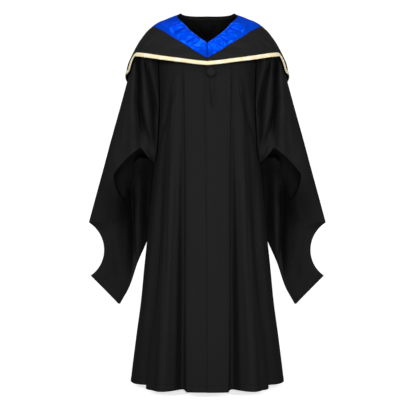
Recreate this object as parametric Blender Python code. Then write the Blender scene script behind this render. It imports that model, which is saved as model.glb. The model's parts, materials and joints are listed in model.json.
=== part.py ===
"""Master's graduation gown with its hood worn over the shoulders, filled out with no wearer.

Metres, +Z up, the front faces -Y and the wearer's left is +X.  The origin is the middle of the neck
opening, level with the tops of the shoulders at the neck, where a wearer's shoulders hold the gown.

Every cloth piece is a wall.  A turn about the upright axis and a level give a point on the surface of
the gown's body or of the hood, and the wall lies between two distances from that surface, measured
along its normal.  Pieces that meet share the surface, so a seam keeps one gap.
"""
import math
from collections import namedtuple

import bpy
import numpy as np

MM = 0.001
WALL = 1.6 * MM
SEAM = 0.3 * MM
HEM = -1.248
YOKE_SEAM = -0.047
NECKBAND_HEIGHT = 16 * MM
BAND_LAP = 7 * MM
BAND_ROOM = 0.8 * MM
BAND_SAG = 0.4 * MM
CENTRE_LAP = 16 * MM
SQUARENESS = 2.3
CAPE_ROOM = 1.2 * MM
FRONT_ROOM = 2.4 * MM
REAR_ROOM = 3.4 * MM
NECK_PANEL_START = 6.0
NECK_COLUMNS, NECK_ROWS = 41, 3
YOKE_START = 58.0
YOKE_COLUMNS, YOKE_ROWS = 27, 4
BACK_COLUMNS = 35
BAND_TOP = -0.1325
BAND_COLUMNS = 6
BAND_LEAN = 4 * MM
ROW_PRESS = 12 * MM
FRONT_TOP_TURNS = (30, 88)

Finish = namedtuple("Finish", "colour roughness")
GOWN_CLOTH = Finish((0.012, 0.012, 0.013), 0.85)
HOOD_CLOTH = Finish((0.014, 0.014, 0.015), 0.75)
SATIN = Finish((0.0, 0.08, 0.85), 0.35)
RIBBON = Finish((0.92, 0.84, 0.62), 0.55)

# Rings of the gown's body: level, half width, depth in front of and behind the axis
Ring = namedtuple("Ring", "level side front back")
BODY_RINGS = (
    Ring(0.024, 0.0790, 0.0420, 0.0540),
    Ring(0.010, 0.0828, 0.0508, 0.0612),
    Ring(-0.005, 0.1010, 0.0652, 0.0758),
    Ring(-0.022, 0.1390, 0.0810, 0.0885),
    Ring(-0.040, 0.1700, 0.0948, 0.0995),
    Ring(-0.060, 0.1800, 0.1070, 0.1100),
    Ring(-0.090, 0.1810, 0.1190, 0.1190),
    Ring(-0.130, 0.1790, 0.1300, 0.1270),
    Ring(-0.190, 0.1730, 0.1495, 0.1340),
    Ring(-0.295, 0.1670, 0.1575, 0.1360),
    Ring(-0.380, 0.1695, 0.1585, 0.1350),
    Ring(-0.500, 0.1800, 0.1605, 0.1360),
    Ring(-0.620, 0.1910, 0.1650, 0.1390),
    Ring(-0.776, 0.2035, 0.173, 0.147),
    Ring(-0.862, 0.2116, 0.178, 0.154),
    Ring(-0.976, 0.2215, 0.185, 0.165),
    Ring(-1.090, 0.236, 0.192, 0.176),
    Ring(-1.248, 0.2545, 0.1985, 0.190),
)

# Rings of the hood's cape, carried on down for the cowl that hangs behind
HOOD_RINGS = (
    Ring(0.026, 0.080, 0.042, 0.054),
    Ring(0.013, 0.085, 0.052, 0.062),
    Ring(0.0056, 0.0905, 0.058, 0.070),
    Ring(-0.003, 0.104, 0.068, 0.079),
    Ring(-0.020, 0.143, 0.084, 0.092),
    Ring(-0.0387, 0.183, 0.099, 0.104),
    Ring(-0.0577, 0.2064, 0.109, 0.112),
    Ring(-0.0763, 0.2212, 0.118, 0.119),
    Ring(-0.0973, 0.2356, 0.127, 0.126),
    Ring(-0.120, 0.248, 0.136, 0.132),
    Ring(-0.135, 0.2556, 0.142, 0.136),
    Ring(-0.176, 0.2725, 0.155, 0.144),
    Ring(-0.203, 0.277, 0.162, 0.148),
    Ring(-0.260, 0.284, 0.168, 0.154),
    Ring(-0.340, 0.284, 0.170, 0.159),
    Ring(-0.480, 0.270, 0.170, 0.166),
    Ring(-0.660, 0.250, 0.170, 0.176),
)

# Folds of the body: turn at the top and at the hem, half width in degrees, depth at the hem (out is
# positive), the levels where the fold starts and is full, and where it has gone again (None stays)
Fold = namedtuple("Fold", "turn_top turn_hem spread depth start full gone")
BODY_FOLDS = (
    Fold(31.0, 27.5, 5.0, -0.036, -0.20, -1.25, None),
    Fold(33.0, 39.5, 6.5, 0.020, -0.24, -1.25, None),
    Fold(42.0, 50.0, 5.0, 0.010, -0.50, -1.10, None),
    Fold(54.0, 64.0, 6.0, -0.030, -0.46, -1.25, None),
    Fold(40.0, 78.0, 5.0, -0.007, -0.20, -0.36, -0.56),
    Fold(82.0, 84.0, 8.0, 0.006, -0.60, -1.20, None),
    Fold(100.0, 98.0, 6.0, -0.020, -0.45, -1.25, None),
    Fold(112.0, 112.0, 6.0, 0.018, -0.30, -1.25, None),
    Fold(122.0, 124.0, 5.5, -0.022, -0.12, -1.25, None),
    Fold(134.0, 136.0, 5.5, 0.017, -0.10, -1.25, None),
    Fold(144.0, 147.0, 5.0, -0.021, -0.09, -1.25, None),
    Fold(156.0, 158.0, 5.0, 0.016, -0.08, -1.25, None),
    Fold(167.0, 169.0, 5.0, -0.020, -0.08, -1.25, None),
    Fold(180.0, 180.0, 5.5, 0.018, -0.08, -1.25, None),
)

# Neck edge of the hood, outer edge of its satin, lower edge of the cape and of its trim
HoodEdge = namedtuple("HoodEdge", "turn neck satin hem")
HOOD_EDGES = (
    HoodEdge(0.0, -0.1205, -0.1745, -0.1984),
    HoodEdge(13.3, -0.0978, -0.1535, -0.1948),
    HoodEdge(28.2, -0.0707, -0.1270, -0.1880),
    HoodEdge(37.6, -0.0498, -0.1105, -0.1830),
    HoodEdge(47.5, -0.0330, -0.0926, -0.1765),
    HoodEdge(57.5, -0.0189, -0.0735, -0.1680),
    HoodEdge(68.0, -0.0060, -0.0575, -0.1580),
    HoodEdge(73.5, 0.0000, -0.0508, -0.1540),
    HoodEdge(75.0, 0.0008, -0.0500, -0.1570),
    HoodEdge(76.2, 0.0014, -0.0493, -0.1760),
    HoodEdge(77.8, 0.0020, -0.0484, -0.1960),
    HoodEdge(80.5, 0.0032, -0.0468, -0.2045),
    HoodEdge(85.0, 0.0055, -0.0450, -0.2090),
    HoodEdge(90.0, 0.0070, -0.0450, -0.2140),
    HoodEdge(100.0, 0.0085, -0.0450, -0.2270),
    HoodEdge(120.0, 0.0100, -0.0450, -0.2560),
    HoodEdge(145.0, 0.0115, -0.0450, -0.2960),
    HoodEdge(180.0, 0.0130, -0.0450, -0.3200),
)
HOOD_TURNS = (0.12, 7, 14, 22, 30, 38, 46, 54, 62, 69, 73.5, 75, 76.2, 77.8, 79.2, 81, 84, 88, 93, 99, 108, 120, 132,
              144, 156, 168, 179.88)
TRIM_REACHES = tuple(range(-90, 91, 15))
CAPE_ROWS = 5
TRIM_HEIGHT = 12.8 * MM
TRIM_ROOM = 1.2 * MM
GOWN_NECK_DROP = 5 * MM

# Outer edge of each front band and front and back edges of the armhole, as turns in degrees
BodyEdge = namedtuple("BodyEdge", "level band armhole_front armhole_back")
BODY_EDGES = (
    BodyEdge(-0.047, 46.0, 88.0, 92.0),
    BodyEdge(-0.070, 39.5, 79.0, 102.0),
    BodyEdge(-0.100, 33.5, 73.5, 108.0),
    BodyEdge(-0.150, 29.8, 71.0, 111.0),
    BodyEdge(-0.210, 27.9, 70.5, 112.0),
    BodyEdge(-0.260, 27.2, 72.0, 111.0),
    BodyEdge(-0.300, 26.8, 77.0, 105.0),
    BodyEdge(-0.330, 26.6, 89.9, 90.1),
    BodyEdge(-0.470, 26.0, 89.9, 90.1),
    BodyEdge(-0.634, 25.2, 89.9, 90.1),
    BodyEdge(-0.956, 21.5, 89.9, 90.1),
    BodyEdge(-1.248, 18.8, 89.9, 90.1),
)

# Outer edge of the sleeve down to the crescent, and the inner edge below the body's side
SleeveEdge = namedtuple("SleeveEdge", "level x y")
SLEEVE_OUTER = (
    SleeveEdge(-0.052, 0.184, 0.004),
    SleeveEdge(-0.070, 0.208, 0.004),
    SleeveEdge(-0.100, 0.230, 0.002),
    SleeveEdge(-0.139, 0.250, 0.000),
    SleeveEdge(-0.170, 0.2605, 0.000),
    SleeveEdge(-0.2025, 0.2665, 0.000),
    SleeveEdge(-0.254, 0.2805, 0.002),
    SleeveEdge(-0.450, 0.3370, 0.012),
    SleeveEdge(-0.7095, 0.4096, 0.020),
)
CORNER_TOP = SleeveEdge(-0.7095, 0.4096, 0.020)
CORNER_LOW = SleeveEdge(-0.8947, 0.4052, 0.030)
SLEEVE_TIP = SleeveEdge(-0.9925, 0.3080, 0.030)
CRESCENT_DEPTH = 0.049
CRESCENT_EASE = 0.055
SLEEVE_INNER = (
    SleeveEdge(-0.600, 0.1720, 0.078),
    SleeveEdge(-0.650, 0.1760, 0.078),
    SleeveEdge(-0.710, 0.1890, 0.076),
    SleeveEdge(-0.773, 0.2110, 0.066),
    SleeveEdge(-0.850, 0.2437, 0.052),
    SleeveEdge(-0.934, 0.2718, 0.040),
    SleeveEdge(-0.9925, 0.3040, 0.030),
)

# Sections of the sleeve: turn where each sheet leaves the body's side and where the back sheet ends
# under the arm, then how far each sheet's curve reaches forwards or back at its two ends
SleeveRow = namedtuple("SleeveRow", "level upper lower back under fore_in fore_out low_in low_out rear pull")
SLEEVE_ROWS = (
    SleeveRow(-0.052, 86.0, 92.0, 94.0, 94.0, 0.012, 0.014, 0.000, 0.014, 0.016, 0.0),
    SleeveRow(-0.070, 76.0, 92.0, 104.0, 104.0, 0.016, 0.034, 0.000, 0.034, 0.034, 0.0),
    SleeveRow(-0.100, 70.5, 92.0, 111.0, 111.0, 0.018, 0.060, 0.000, 0.060, 0.056, 0.0),
    SleeveRow(-0.150, 68.0, 92.0, 114.0, 114.0, 0.020, 0.080, 0.000, 0.080, 0.075, 0.0),
    SleeveRow(-0.210, 67.5, 92.0, 115.0, 115.0, 0.022, 0.090, 0.000, 0.090, 0.086, 0.0),
    SleeveRow(-0.290, 68.0, 92.0, 115.0, 109.0, 0.024, 0.098, 0.000, 0.098, 0.092, 0.0),
    SleeveRow(-0.325, 68.0, 92.0, 115.0, 92.0, 0.024, 0.100, 0.000, 0.100, 0.094, 0.0),
    SleeveRow(-0.350, 68.0, 92.0, 115.0, 71.0, 0.024, 0.100, 0.000, 0.100, 0.094, 0.0),
    SleeveRow(-0.436, 69.0, 93.0, 115.0, 72.0, 0.024, 0.088, 0.010, 0.086, 0.084, 0.0),
    SleeveRow(-0.489, 69.5, 94.0, 115.0, 99.0, 0.024, 0.078, 0.016, 0.074, 0.074, 0.02),
    SleeveRow(-0.550, 71.0, 106.0, 115.0, 108.0, 0.022, 0.061, 0.022, 0.059, 0.059, 0.05),
    SleeveRow(-0.620, 72.0, 111.0, 115.0, 112.0, 0.020, 0.044, 0.026, 0.043, 0.043, 0.12),
    SleeveRow(-0.680, 72.0, 112.0, 115.0, 112.0, 0.018, 0.031, 0.026, 0.031, 0.031, 0.19),
    SleeveRow(-0.7095, 72.0, 112.0, 115.0, 112.0, 0.016, 0.026, 0.025, 0.026, 0.026, 0.22),
    SleeveRow(-0.750, 72.0, 112.0, 115.0, 112.0, 0.015, 0.020, 0.024, 0.020, 0.021, 0.26),
    SleeveRow(-0.810, 72.0, 112.0, 115.0, 112.0, 0.014, 0.013, 0.022, 0.013, 0.015, 0.31),
    SleeveRow(-0.895, 72.0, 112.0, 115.0, 112.0, 0.010, 0.006, 0.014, 0.006, 0.008, 0.35),
    SleeveRow(-0.9925, 72.0, 112.0, 115.0, 112.0, 0.002, 0.002, 0.002, 0.002, 0.002, 0.35),
)
SLEEVE_HEAD = -0.054
BODY_SIDE_END = -0.600
INNER_EDGE_START = -0.660

# Edges of the arm slit: share of the way across the front sheet, level of the upper and lower lip
Lip = namedtuple("Lip", "across upper lower")
SLIT_LIPS = (
    Lip(0.00, -0.5140, -0.4900),
    Lip(0.14, -0.4900, -0.4880),
    Lip(0.28, -0.4598, -0.4880),
    Lip(0.38, -0.4800, -0.5050),
    Lip(0.44, -0.4930, -0.5700),
    Lip(0.51, -0.5090, -0.6350),
    Lip(0.58, -0.5270, -0.6080),
    Lip(0.62, -0.5380, -0.5800),
    Lip(0.65, -0.5502, -0.5502),
)
SLIT_END = 0.65
SLIT_LEVEL = -0.5502

# Folds of a sleeve's front: place from the axis at the top and bottom, half width, depth, levels
SleeveFold = namedtuple("SleeveFold", "x_top x_low spread depth start end")
UPPER_FOLDS = (
    SleeveFold(0.222, 0.256, 0.015, 0.011, -0.12, -0.62),
    SleeveFold(0.238, 0.224, 0.012, -0.014, -0.12, -0.50),
    SleeveFold(0.192, 0.176, 0.012, -0.010, -0.12, -0.50),
    SleeveFold(0.208, 0.198, 0.012, 0.008, -0.14, -0.56),
)
LOWER_FOLDS = (
    SleeveFold(0.270, 0.262, 0.020, -0.011, -0.52, -0.93),
    SleeveFold(0.226, 0.240, 0.022, 0.010, -0.46, -0.93),
)

# Outline of the cowl and of the lining turned out on it: level and half width
CowlRow = namedtuple("CowlRow", "level cowl lining puff")
COWL_ROWS = (
    CowlRow(-0.050, 0.078, 0.060, 0.000),
    CowlRow(-0.090, 0.104, 0.076, 0.010),
    CowlRow(-0.150, 0.122, 0.082, 0.022),
    CowlRow(-0.240, 0.128, 0.076, 0.032),
    CowlRow(-0.340, 0.124, 0.062, 0.036),
    CowlRow(-0.440, 0.112, 0.040, 0.034),
    CowlRow(-0.480, 0.105, 0.016, 0.033),
    CowlRow(-0.530, 0.091, 0.010, 0.028),
    CowlRow(-0.590, 0.062, 0.008, 0.018),
    CowlRow(-0.630, 0.020, 0.006, 0.008),
)
LINING_END = -0.482
COWL_ROOM = 1.5 * MM

BUTTON_PLACE = (0.0122, -0.2208)
BUTTON_RADIUS = 16.5 * MM
BUTTON_THICK = 8 * MM
BUTTON_SIDES = 20
LOOP_PLACE = (-0.0068, -0.2085)
LOOP_REACH = 7.5 * MM
LOOP_THICK = 3 * MM
LOOP_STEPS = 9


def curve(table, start, value, at):
    """Monotone cubic curve through two columns of a table, held flat past its ends."""
    xs = np.array([getattr(row, start) for row in table])
    ys = np.array([getattr(row, value) for row in table])
    if xs[0] > xs[-1]:
        xs, ys = xs[::-1], ys[::-1]
    run = np.diff(xs)
    rise = np.diff(ys) / run
    same = rise[:-1] * rise[1:] > 0
    early = 2 * run[1:] + run[:-1]
    late = run[1:] + 2 * run[:-1]
    slope = np.zeros_like(ys)
    safe = np.where(same, rise[:-1], 1), np.where(same, rise[1:], 1)
    slope[1:-1] = np.where(same, (early + late) / (early / safe[0] + late / safe[1]), 0)
    slope[0], slope[-1] = rise[0], rise[-1]
    at = np.clip(at, xs[0], xs[-1])
    k = np.clip(np.searchsorted(xs, at) - 1, 0, len(run) - 1)
    t = (at - xs[k]) / run[k]
    return (ys[k] * (1 + 2 * t) * (1 - t) ** 2 + ys[k + 1] * t * t * (3 - 2 * t)
            + run[k] * t * (1 - t) * (slope[k] * (1 - t) - slope[k + 1] * t))


def ease(low, high, at):
    """0 before low, 1 after high and a smooth step between them, which may also run downwards."""
    t = np.clip((at - low) / (high - low), 0, 1)
    return t * t * (3 - 2 * t)


def fold_turn(turn):
    """The same turn, measured the short way round from the front centre, whichever side it is on."""
    return np.minimum(np.abs(turn), 2 * math.pi - np.abs(turn))


def ring_radius(rings, turn, level):
    """Distance from the axis to a superellipse ring, which is rounder in front than behind."""
    side = curve(rings, "level", "side", level)
    front = curve(rings, "level", "front", level)
    back = curve(rings, "level", "back", level)
    across = np.abs(np.sin(turn)) / side
    along = np.abs(np.cos(turn)) / np.where(np.cos(turn) > 0, front, back)
    return (across ** SQUARENESS + along ** SQUARENESS) ** (-1 / SQUARENESS)


def body_radius(turn, level):
    """Radius of the gown's body with its folds, the same on both sides."""
    degrees = np.degrees(fold_turn(turn))
    radius = ring_radius(BODY_RINGS, turn, level)
    for fold in BODY_FOLDS:
        down = np.clip((fold.start - level) / (fold.start - HEM), 0, 1)
        middle = fold.turn_top + (fold.turn_hem - fold.turn_top) * down
        grown = np.clip((fold.start - level) / (fold.start - fold.full), 0, 1) ** 0.8
        if fold.gone is not None:
            grown = grown * ease(fold.gone, fold.full, level)
            middle = fold.turn_top + (fold.turn_hem - fold.turn_top) * np.clip(
                (fold.start - level) / (fold.start - fold.gone), 0, 1)
        radius = radius + fold.depth * grown * np.exp(-((degrees - middle) / fold.spread) ** 2)
    return radius


def hood_radius(turn, level):
    """Radius of the hood's cape."""
    return ring_radius(HOOD_RINGS, turn, level)


def on_surface(radius, turn, level):
    """Point of a surface at a turn from the front centre towards the wearer's left, and a level."""
    r = radius(turn, level)
    return np.stack([r * np.sin(turn), -r * np.cos(turn), level + 0 * r], axis=-1)


def steepness(radius, turn, level):
    """How far sideways a step of one along the surface's normal lies: the normal's radial share, inverted."""
    step = 1e-4
    r = radius(turn, level)
    by_turn = (radius(turn + step, level) - radius(turn - step, level)) / (2 * step)
    by_level = (radius(turn, level + step) - radius(turn, level - step)) / (2 * step)
    return np.sqrt(1 + by_level ** 2 + (by_turn / r) ** 2)


def surface_normal(point_at, u, v):
    """Unit normal of a surface point_at(u, v), from small steps each way."""
    step = 1e-4
    along = point_at(u + step, v) - point_at(u - step, v)
    up = point_at(u, v + step) - point_at(u, v - step)
    normal = np.cross(along, up)
    return normal / np.linalg.norm(normal, axis=-1, keepdims=True)


def grid_quads(rows, columns, wrap=False):
    """Quads of a grid of rows by columns of points, numbered row by row."""
    last = columns if wrap else columns - 1
    return [(r * columns + c, r * columns + (c + 1) % columns,
             (r + 1) * columns + (c + 1) % columns, (r + 1) * columns + c)
            for r in range(rows - 1) for c in range(last)]


def finish(name, colour, roughness):
    """Principled material of a cloth."""
    made = bpy.data.materials.new(name)
    made.use_nodes = True
    shader = made.node_tree.nodes["Principled BSDF"]
    shader.inputs["Base Color"].default_value = (*colour, 1)
    shader.inputs["Roughness"].default_value = roughness
    shader.inputs["Metallic"].default_value = 0
    return made


def add_object(name, points, faces, look):
    """One named object with its own material."""
    mesh = bpy.data.meshes.new(name)
    mesh.from_pydata([tuple(map(float, p)) for p in points], [], faces)
    mesh.update()
    mesh.shade_smooth()
    made = bpy.data.objects.new(name, mesh)
    mesh.materials.append(finish(name, look.colour, look.roughness))
    bpy.context.scene.collection.objects.link(made)
    return made


def split_quads(points, quads):
    """Two triangles for each quad, cut along its shorter diagonal."""
    triangles = []
    for a, b, c, d in quads:
        if np.linalg.norm(points[a] - points[c]) <= np.linalg.norm(points[b] - points[d]):
            triangles += [(a, b, c), (a, c, d)]
        else:
            triangles += [(b, c, d), (b, d, a)]
    return triangles


def add_wall(name, points, normals, quads, inner, outer, look):
    """Closed wall between two distances along the normals, with a rim along every free edge."""
    flat = points.reshape(-1, 3)
    out = normals.reshape(-1, 3)
    count = len(flat)
    corners = np.concatenate([flat + out * inner, flat + out * outer])
    triangles = split_quads(flat, quads)
    a, b, c = (np.array(triangles)[:, k] for k in range(3))
    facing = np.cross(flat[b] - flat[a], flat[c] - flat[a])
    if np.sum(facing * out[a]) < 0:
        triangles = [tuple(reversed(triangle)) for triangle in triangles]
    used = {(t[k], t[(k + 1) % 3]) for t in triangles for k in range(3)}
    faces = [tuple(reversed(triangle)) for triangle in triangles]
    faces += [tuple(i + count for i in triangle) for triangle in triangles]
    for a, b in sorted(used):
        if (b, a) not in used:
            faces += [(a, b, b + count), (a, b + count, a + count)]
    kept = sorted({i for face in faces for i in face})
    place = {old: new for new, old in enumerate(kept)}
    faces = [tuple(place[i] for i in face) for face in faces]
    return add_object(name, corners[kept], faces, look)


def spread(rows):
    """Even shares from 0 to 1."""
    return np.linspace(0, 1, rows)


def panel(name, radius, turn, level, inner, outer, look, wrap=False):
    """Wall on the body or the hood, from grids of turns and levels."""
    def point_at(u, v):
        return on_surface(radius, u, v)
    points = point_at(turn, level)
    normals = surface_normal(point_at, turn, level)
    quads = grid_quads(*turn.shape, wrap)
    return add_wall(name, points, normals, quads, inner, outer, look)


def gown_neck(turn):
    """Level of the gown's own neck edge, a little inside and below the hood's."""
    return curve(HOOD_EDGES, "turn", "neck", np.degrees(fold_turn(turn))) - GOWN_NECK_DROP


def neckband_low(turn):
    """Lower edge of the neckband, which keeps its width where the shoulders are nearly level."""
    top = gown_neck(turn)
    return top - NECKBAND_HEIGHT / steepness(body_radius, turn, top - NECKBAND_HEIGHT / 3)


def band_lap_start(level):
    """Turn where the side panel starts, lapped under the edge of its band."""
    band = np.radians(curve(BODY_EDGES, "level", "band", level))
    return band - BAND_LAP / body_radius(band, level)


BODY_LEVELS = (-0.085, -0.13, -0.19, -0.25, -0.30, -0.345, -0.42, -0.52, -0.64, -0.78, -0.93, -1.09, HEM)
FRONT_SHARES = (0, 0.06, 0.13, 0.20, 0.27, 0.34, 0.41, 0.48, 0.55, 0.62, 0.70, 0.80, 0.90, 1.0)


def body_levels(top):
    """Levels of a body panel: a top edge that varies and the rings below it, pressed down where the top
    edge cuts lower than they are."""
    rows = [top]
    for k, level in enumerate(BODY_LEVELS):
        rows.append(np.minimum(level, top - ROW_PRESS * (k + 1)))
    return np.array(rows)


def build_front(side, word):
    """Side panel of a front, from under its band to the armhole and the side seam."""
    shares = np.array(FRONT_SHARES)
    guess = np.radians(FRONT_TOP_TURNS[0] + (FRONT_TOP_TURNS[1] - FRONT_TOP_TURNS[0]) * shares)
    top = np.minimum(neckband_low(guess) - SEAM, YOKE_SEAM - SEAM)
    level = body_levels(top)
    band = np.radians(curve(BODY_EDGES, "level", "band", level))
    hole = np.radians(curve(BODY_EDGES, "level", "armhole_front", level))
    turn = band_lap_start(level) + (hole - band_lap_start(level)) * shares
    turn[:, 1] = band[:, 1]
    turn[:, 2:] = band[:, 2:] + (hole - band)[:, 2:] * shares[2:]
    turn = side * turn
    panel("front_" + word, body_radius, turn, level, 0, WALL, GOWN_CLOTH)


def build_band(side, word):
    """Flat front band.  The wearer's left one lies on top of the right one at the centre."""
    shares = spread(BAND_COLUMNS)
    level = body_levels(np.full(BAND_COLUMNS, BAND_TOP - NECKBAND_HEIGHT))
    outer = np.radians(curve(BODY_EDGES, "level", "band", level))
    edge = -BAND_LEAN * ease(HEM, BAND_TOP, level)
    lap = edge if side > 0 else -(edge + CENTRE_LAP)
    centre = lap / body_radius(0 * level, level)
    turn = centre + (band_lap_start(level) - centre) * np.minimum(shares / shares[-2], 1)
    turn[:, -1] = outer[:, -1]
    turn = side * turn
    inner = WALL + BAND_ROOM if side < 0 else 2 * WALL + BAND_ROOM + SEAM
    panel("front_band_" + word, body_radius, turn, level, inner, inner + WALL, GOWN_CLOTH)


def build_back():
    """Back panel, gathered into the yoke, between the armholes and the side seams."""
    shares = spread(BACK_COLUMNS)
    level = body_levels(np.full(BACK_COLUMNS, YOKE_SEAM - SEAM))
    hole = np.radians(curve(BODY_EDGES, "level", "armhole_back", level))
    turn = hole + (2 * math.pi - 2 * hole) * shares
    panel("back", body_radius, turn, level, 0, WALL, GOWN_CLOTH)


def neck_limits(front_turn, count):
    """Turns from one front edge round the back to the other."""
    start = math.radians(front_turn)
    return np.linspace(start, 2 * math.pi - start, count)


def build_yoke():
    """Yoke over the shoulders and across the back, below the neckband."""
    turn = neck_limits(YOKE_START, YOKE_COLUMNS) + np.zeros((YOKE_ROWS, 1))
    top = neckband_low(turn[0]) - SEAM
    level = top + (YOKE_SEAM - top) * spread(YOKE_ROWS)[:, None]
    panel("yoke", body_radius, turn, level, 0, WALL, GOWN_CLOTH)


def build_neckband():
    """Narrow band round the neck, from one front edge over the shoulders to the other."""
    turn = neck_limits(NECK_PANEL_START, NECK_COLUMNS) + np.zeros((NECK_ROWS, 1))
    top = gown_neck(turn[0])
    level = top + (neckband_low(turn[0]) - top) * spread(NECK_ROWS)[:, None]
    panel("neckband", body_radius, turn, level, 0, WALL, GOWN_CLOTH)


def hood_edge(value, turn):
    """Level of one of the hood's edges at a turn."""
    return curve(HOOD_EDGES, "turn", value, np.degrees(fold_turn(turn)))


def trim_top(turn):
    """Upper edge of the trim: the highest reach, at each turn, of circles about the points of the cape's
    edge, so that the trim keeps its width where that edge runs steeply down."""
    angle = np.radians(TRIM_REACHES)
    r = hood_radius(turn, hood_edge("hem", turn))
    beside = turn[..., None] - TRIM_HEIGHT * np.sin(angle) / r[..., None]
    return np.max(hood_edge("hem", beside) + TRIM_HEIGHT * np.cos(angle), axis=-1)


def hood_half(side, name, top_edge, low_edge, shares, inner, outer, look):
    """Half of a piece of the hood, from the seam at the front centre to the one behind."""
    turn = np.radians(HOOD_TURNS) + np.zeros((len(shares), 1))
    top = top_edge(turn[0])
    low = low_edge(turn[0])
    level = top + (low - top) * np.array(shares)[:, None]
    panel(name, hood_radius, side * turn, level, inner, outer, look)


def build_hood(side, word):
    """Satin facing along the neck and the black cape below it."""
    hood_half(side, "hood_facing_" + word, lambda t: hood_edge("neck", t),
              lambda t: hood_edge("satin", t), spread(4), 0, WALL, SATIN)
    hood_cape(side, word)


def hood_cape(side, word):
    """Cape from the satin's edge to the hem, with rows where the trim's edges lie."""
    turn = side * np.radians(HOOD_TURNS)
    top = hood_edge("satin", turn) - SEAM
    low = hood_edge("hem", turn)
    trim = trim_top(turn)
    rows = [top + (trim - top) * t for t in spread(CAPE_ROWS)] + [low]
    level = np.array(rows)
    panel("hood_cape_" + word, hood_radius, turn + 0 * level, level, 0, WALL, HOOD_CLOTH)


def build_trim():
    """Woven ribbon on the outside of the cape's lower edge, all the way round."""
    half = np.radians((0, *HOOD_TURNS[1:-1], 180))
    turn = np.concatenate([half, 2 * math.pi - half[-2:0:-1]]) + np.zeros((2, 1))
    level = np.array([trim_top(turn[0]), hood_edge("hem", turn[0])])
    inner = WALL + SEAM
    panel("hood_trim", hood_radius, turn, level, inner, inner + TRIM_ROOM, RIBBON, wrap=True)


def build_cowl():
    """Cowl that hangs behind, and its lining turned out down the middle."""
    def cowl_point(u, v):
        wide = curve(COWL_ROWS, "level", "cowl", v)
        puff = curve(COWL_ROWS, "level", "puff", v) * (1 - (u / wide) ** 2)
        turn = np.arctan2(u, -curve(HOOD_RINGS, "level", "back", v))
        base = on_surface(hood_radius, turn, v)
        return base + np.stack([0 * puff, puff, 0 * puff], axis=-1)

    def cowl_wall(name, levels, shares, inner, look):
        level = np.array(levels)[:, None] + np.zeros(len(shares))
        wide = curve(COWL_ROWS, "level", "cowl", level)
        lining = curve(COWL_ROWS, "level", "lining", level)
        shares = np.array(shares)
        beyond = np.sign(shares) * np.clip(np.abs(shares) - 1, 0, 1) * (wide - lining)
        across = lining * np.clip(shares, -1, 1) + beyond
        points = cowl_point(across, level)
        normals = -surface_normal(cowl_point, across, level)
        add_wall(name, points, normals, grid_quads(*level.shape), inner, inner + WALL, look)

    room = WALL + SEAM + TRIM_ROOM + COWL_ROOM
    levels = [row.level for row in COWL_ROWS]
    cowl_wall("hood_cowl", levels, (2, 1.5, 1, 0.5, 0, -0.5, -1, -1.5, -2), room, HOOD_CLOTH)
    lining = [v for v in levels if v > LINING_END]
    cowl_wall("hood_lining", lining, (1, 0.5, 0, -0.5, -1), room + WALL + SEAM, SATIN)


def sleeve_outer(level):
    """Outer edge of the sleeve, as it would run past the crescent, and its slanted end."""
    down = np.clip((CORNER_TOP.level - level) / (CORNER_TOP.level - CORNER_LOW.level), 0, 1)
    end = np.clip((CORNER_LOW.level - level) / (CORNER_LOW.level - SLEEVE_TIP.level), 0, 1)
    x = curve(SLEEVE_OUTER, "level", "x", level)
    x = x + (CORNER_LOW.x - CORNER_TOP.x) * down + (SLEEVE_TIP.x - CORNER_LOW.x) * end
    y = curve(SLEEVE_OUTER, "level", "y", level) + (CORNER_LOW.y - CORNER_TOP.y) * down
    return np.stack([x, y], axis=-1)


def crescent(level):
    """How deep the crescent cuts into the sleeve: its edge is part of a circle."""
    half = (CORNER_TOP.level - CORNER_LOW.level) / 2
    middle = (CORNER_TOP.level + CORNER_LOW.level) / 2
    radius = (half ** 2 + CRESCENT_DEPTH ** 2) / (2 * CRESCENT_DEPTH)
    reach = np.sqrt(np.clip(radius ** 2 - (level - middle) ** 2, 0, None))
    return np.clip(reach - (radius - CRESCENT_DEPTH), 0, None)


def sleeve_inner(level, column):
    """Inner edge of a sheet: on the body's side at the table's turn, then the sleeve's own edge, except
    for the upper sheet, which ends above it."""
    turn = np.radians(curve(SLEEVE_ROWS, "level", column, level))
    side = on_surface(body_radius, turn, level)[..., :2]
    if column == "upper":
        return side
    free = np.stack([curve(SLEEVE_INNER, "level", "x", level),
                     curve(SLEEVE_INNER, "level", "y", level)], axis=-1)
    share = ease(BODY_SIDE_END, INNER_EDGE_START, level)[..., None]
    return side + (free - side) * share


def bezier(a, b, c, d, t):
    """Cubic curve through a and d, drawn towards b and c."""
    return ((1 - t) ** 3 * a + 3 * (1 - t) ** 2 * t * b + 3 * (1 - t) * t * t * c + t ** 3 * d)


def along_path(path, share):
    """Points at shares of the length of each path, for paths of shape (..., steps, 2)."""
    legs = np.linalg.norm(np.diff(path, axis=-2), axis=-1)
    done = np.concatenate([np.zeros_like(legs[..., :1]), np.cumsum(legs, axis=-1)], axis=-1)
    target = share * done[..., -1]
    k = np.clip(np.sum(done <= target[..., None], axis=-1) - 1, 0, legs.shape[-1] - 1)
    before = np.take_along_axis(done, k[..., None], axis=-1)[..., 0]
    leg = np.take_along_axis(legs, k[..., None], axis=-1)[..., 0]
    t = (target - before) / np.maximum(leg, 1e-9)
    index = k[..., None, None] + np.zeros((*k.shape, 1, 2), dtype=int)
    a = np.take_along_axis(path, index, axis=-2)[..., 0, :]
    b = np.take_along_axis(path, index + 1, axis=-2)[..., 0, :]
    return a + (b - a) * t[..., None]


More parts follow.
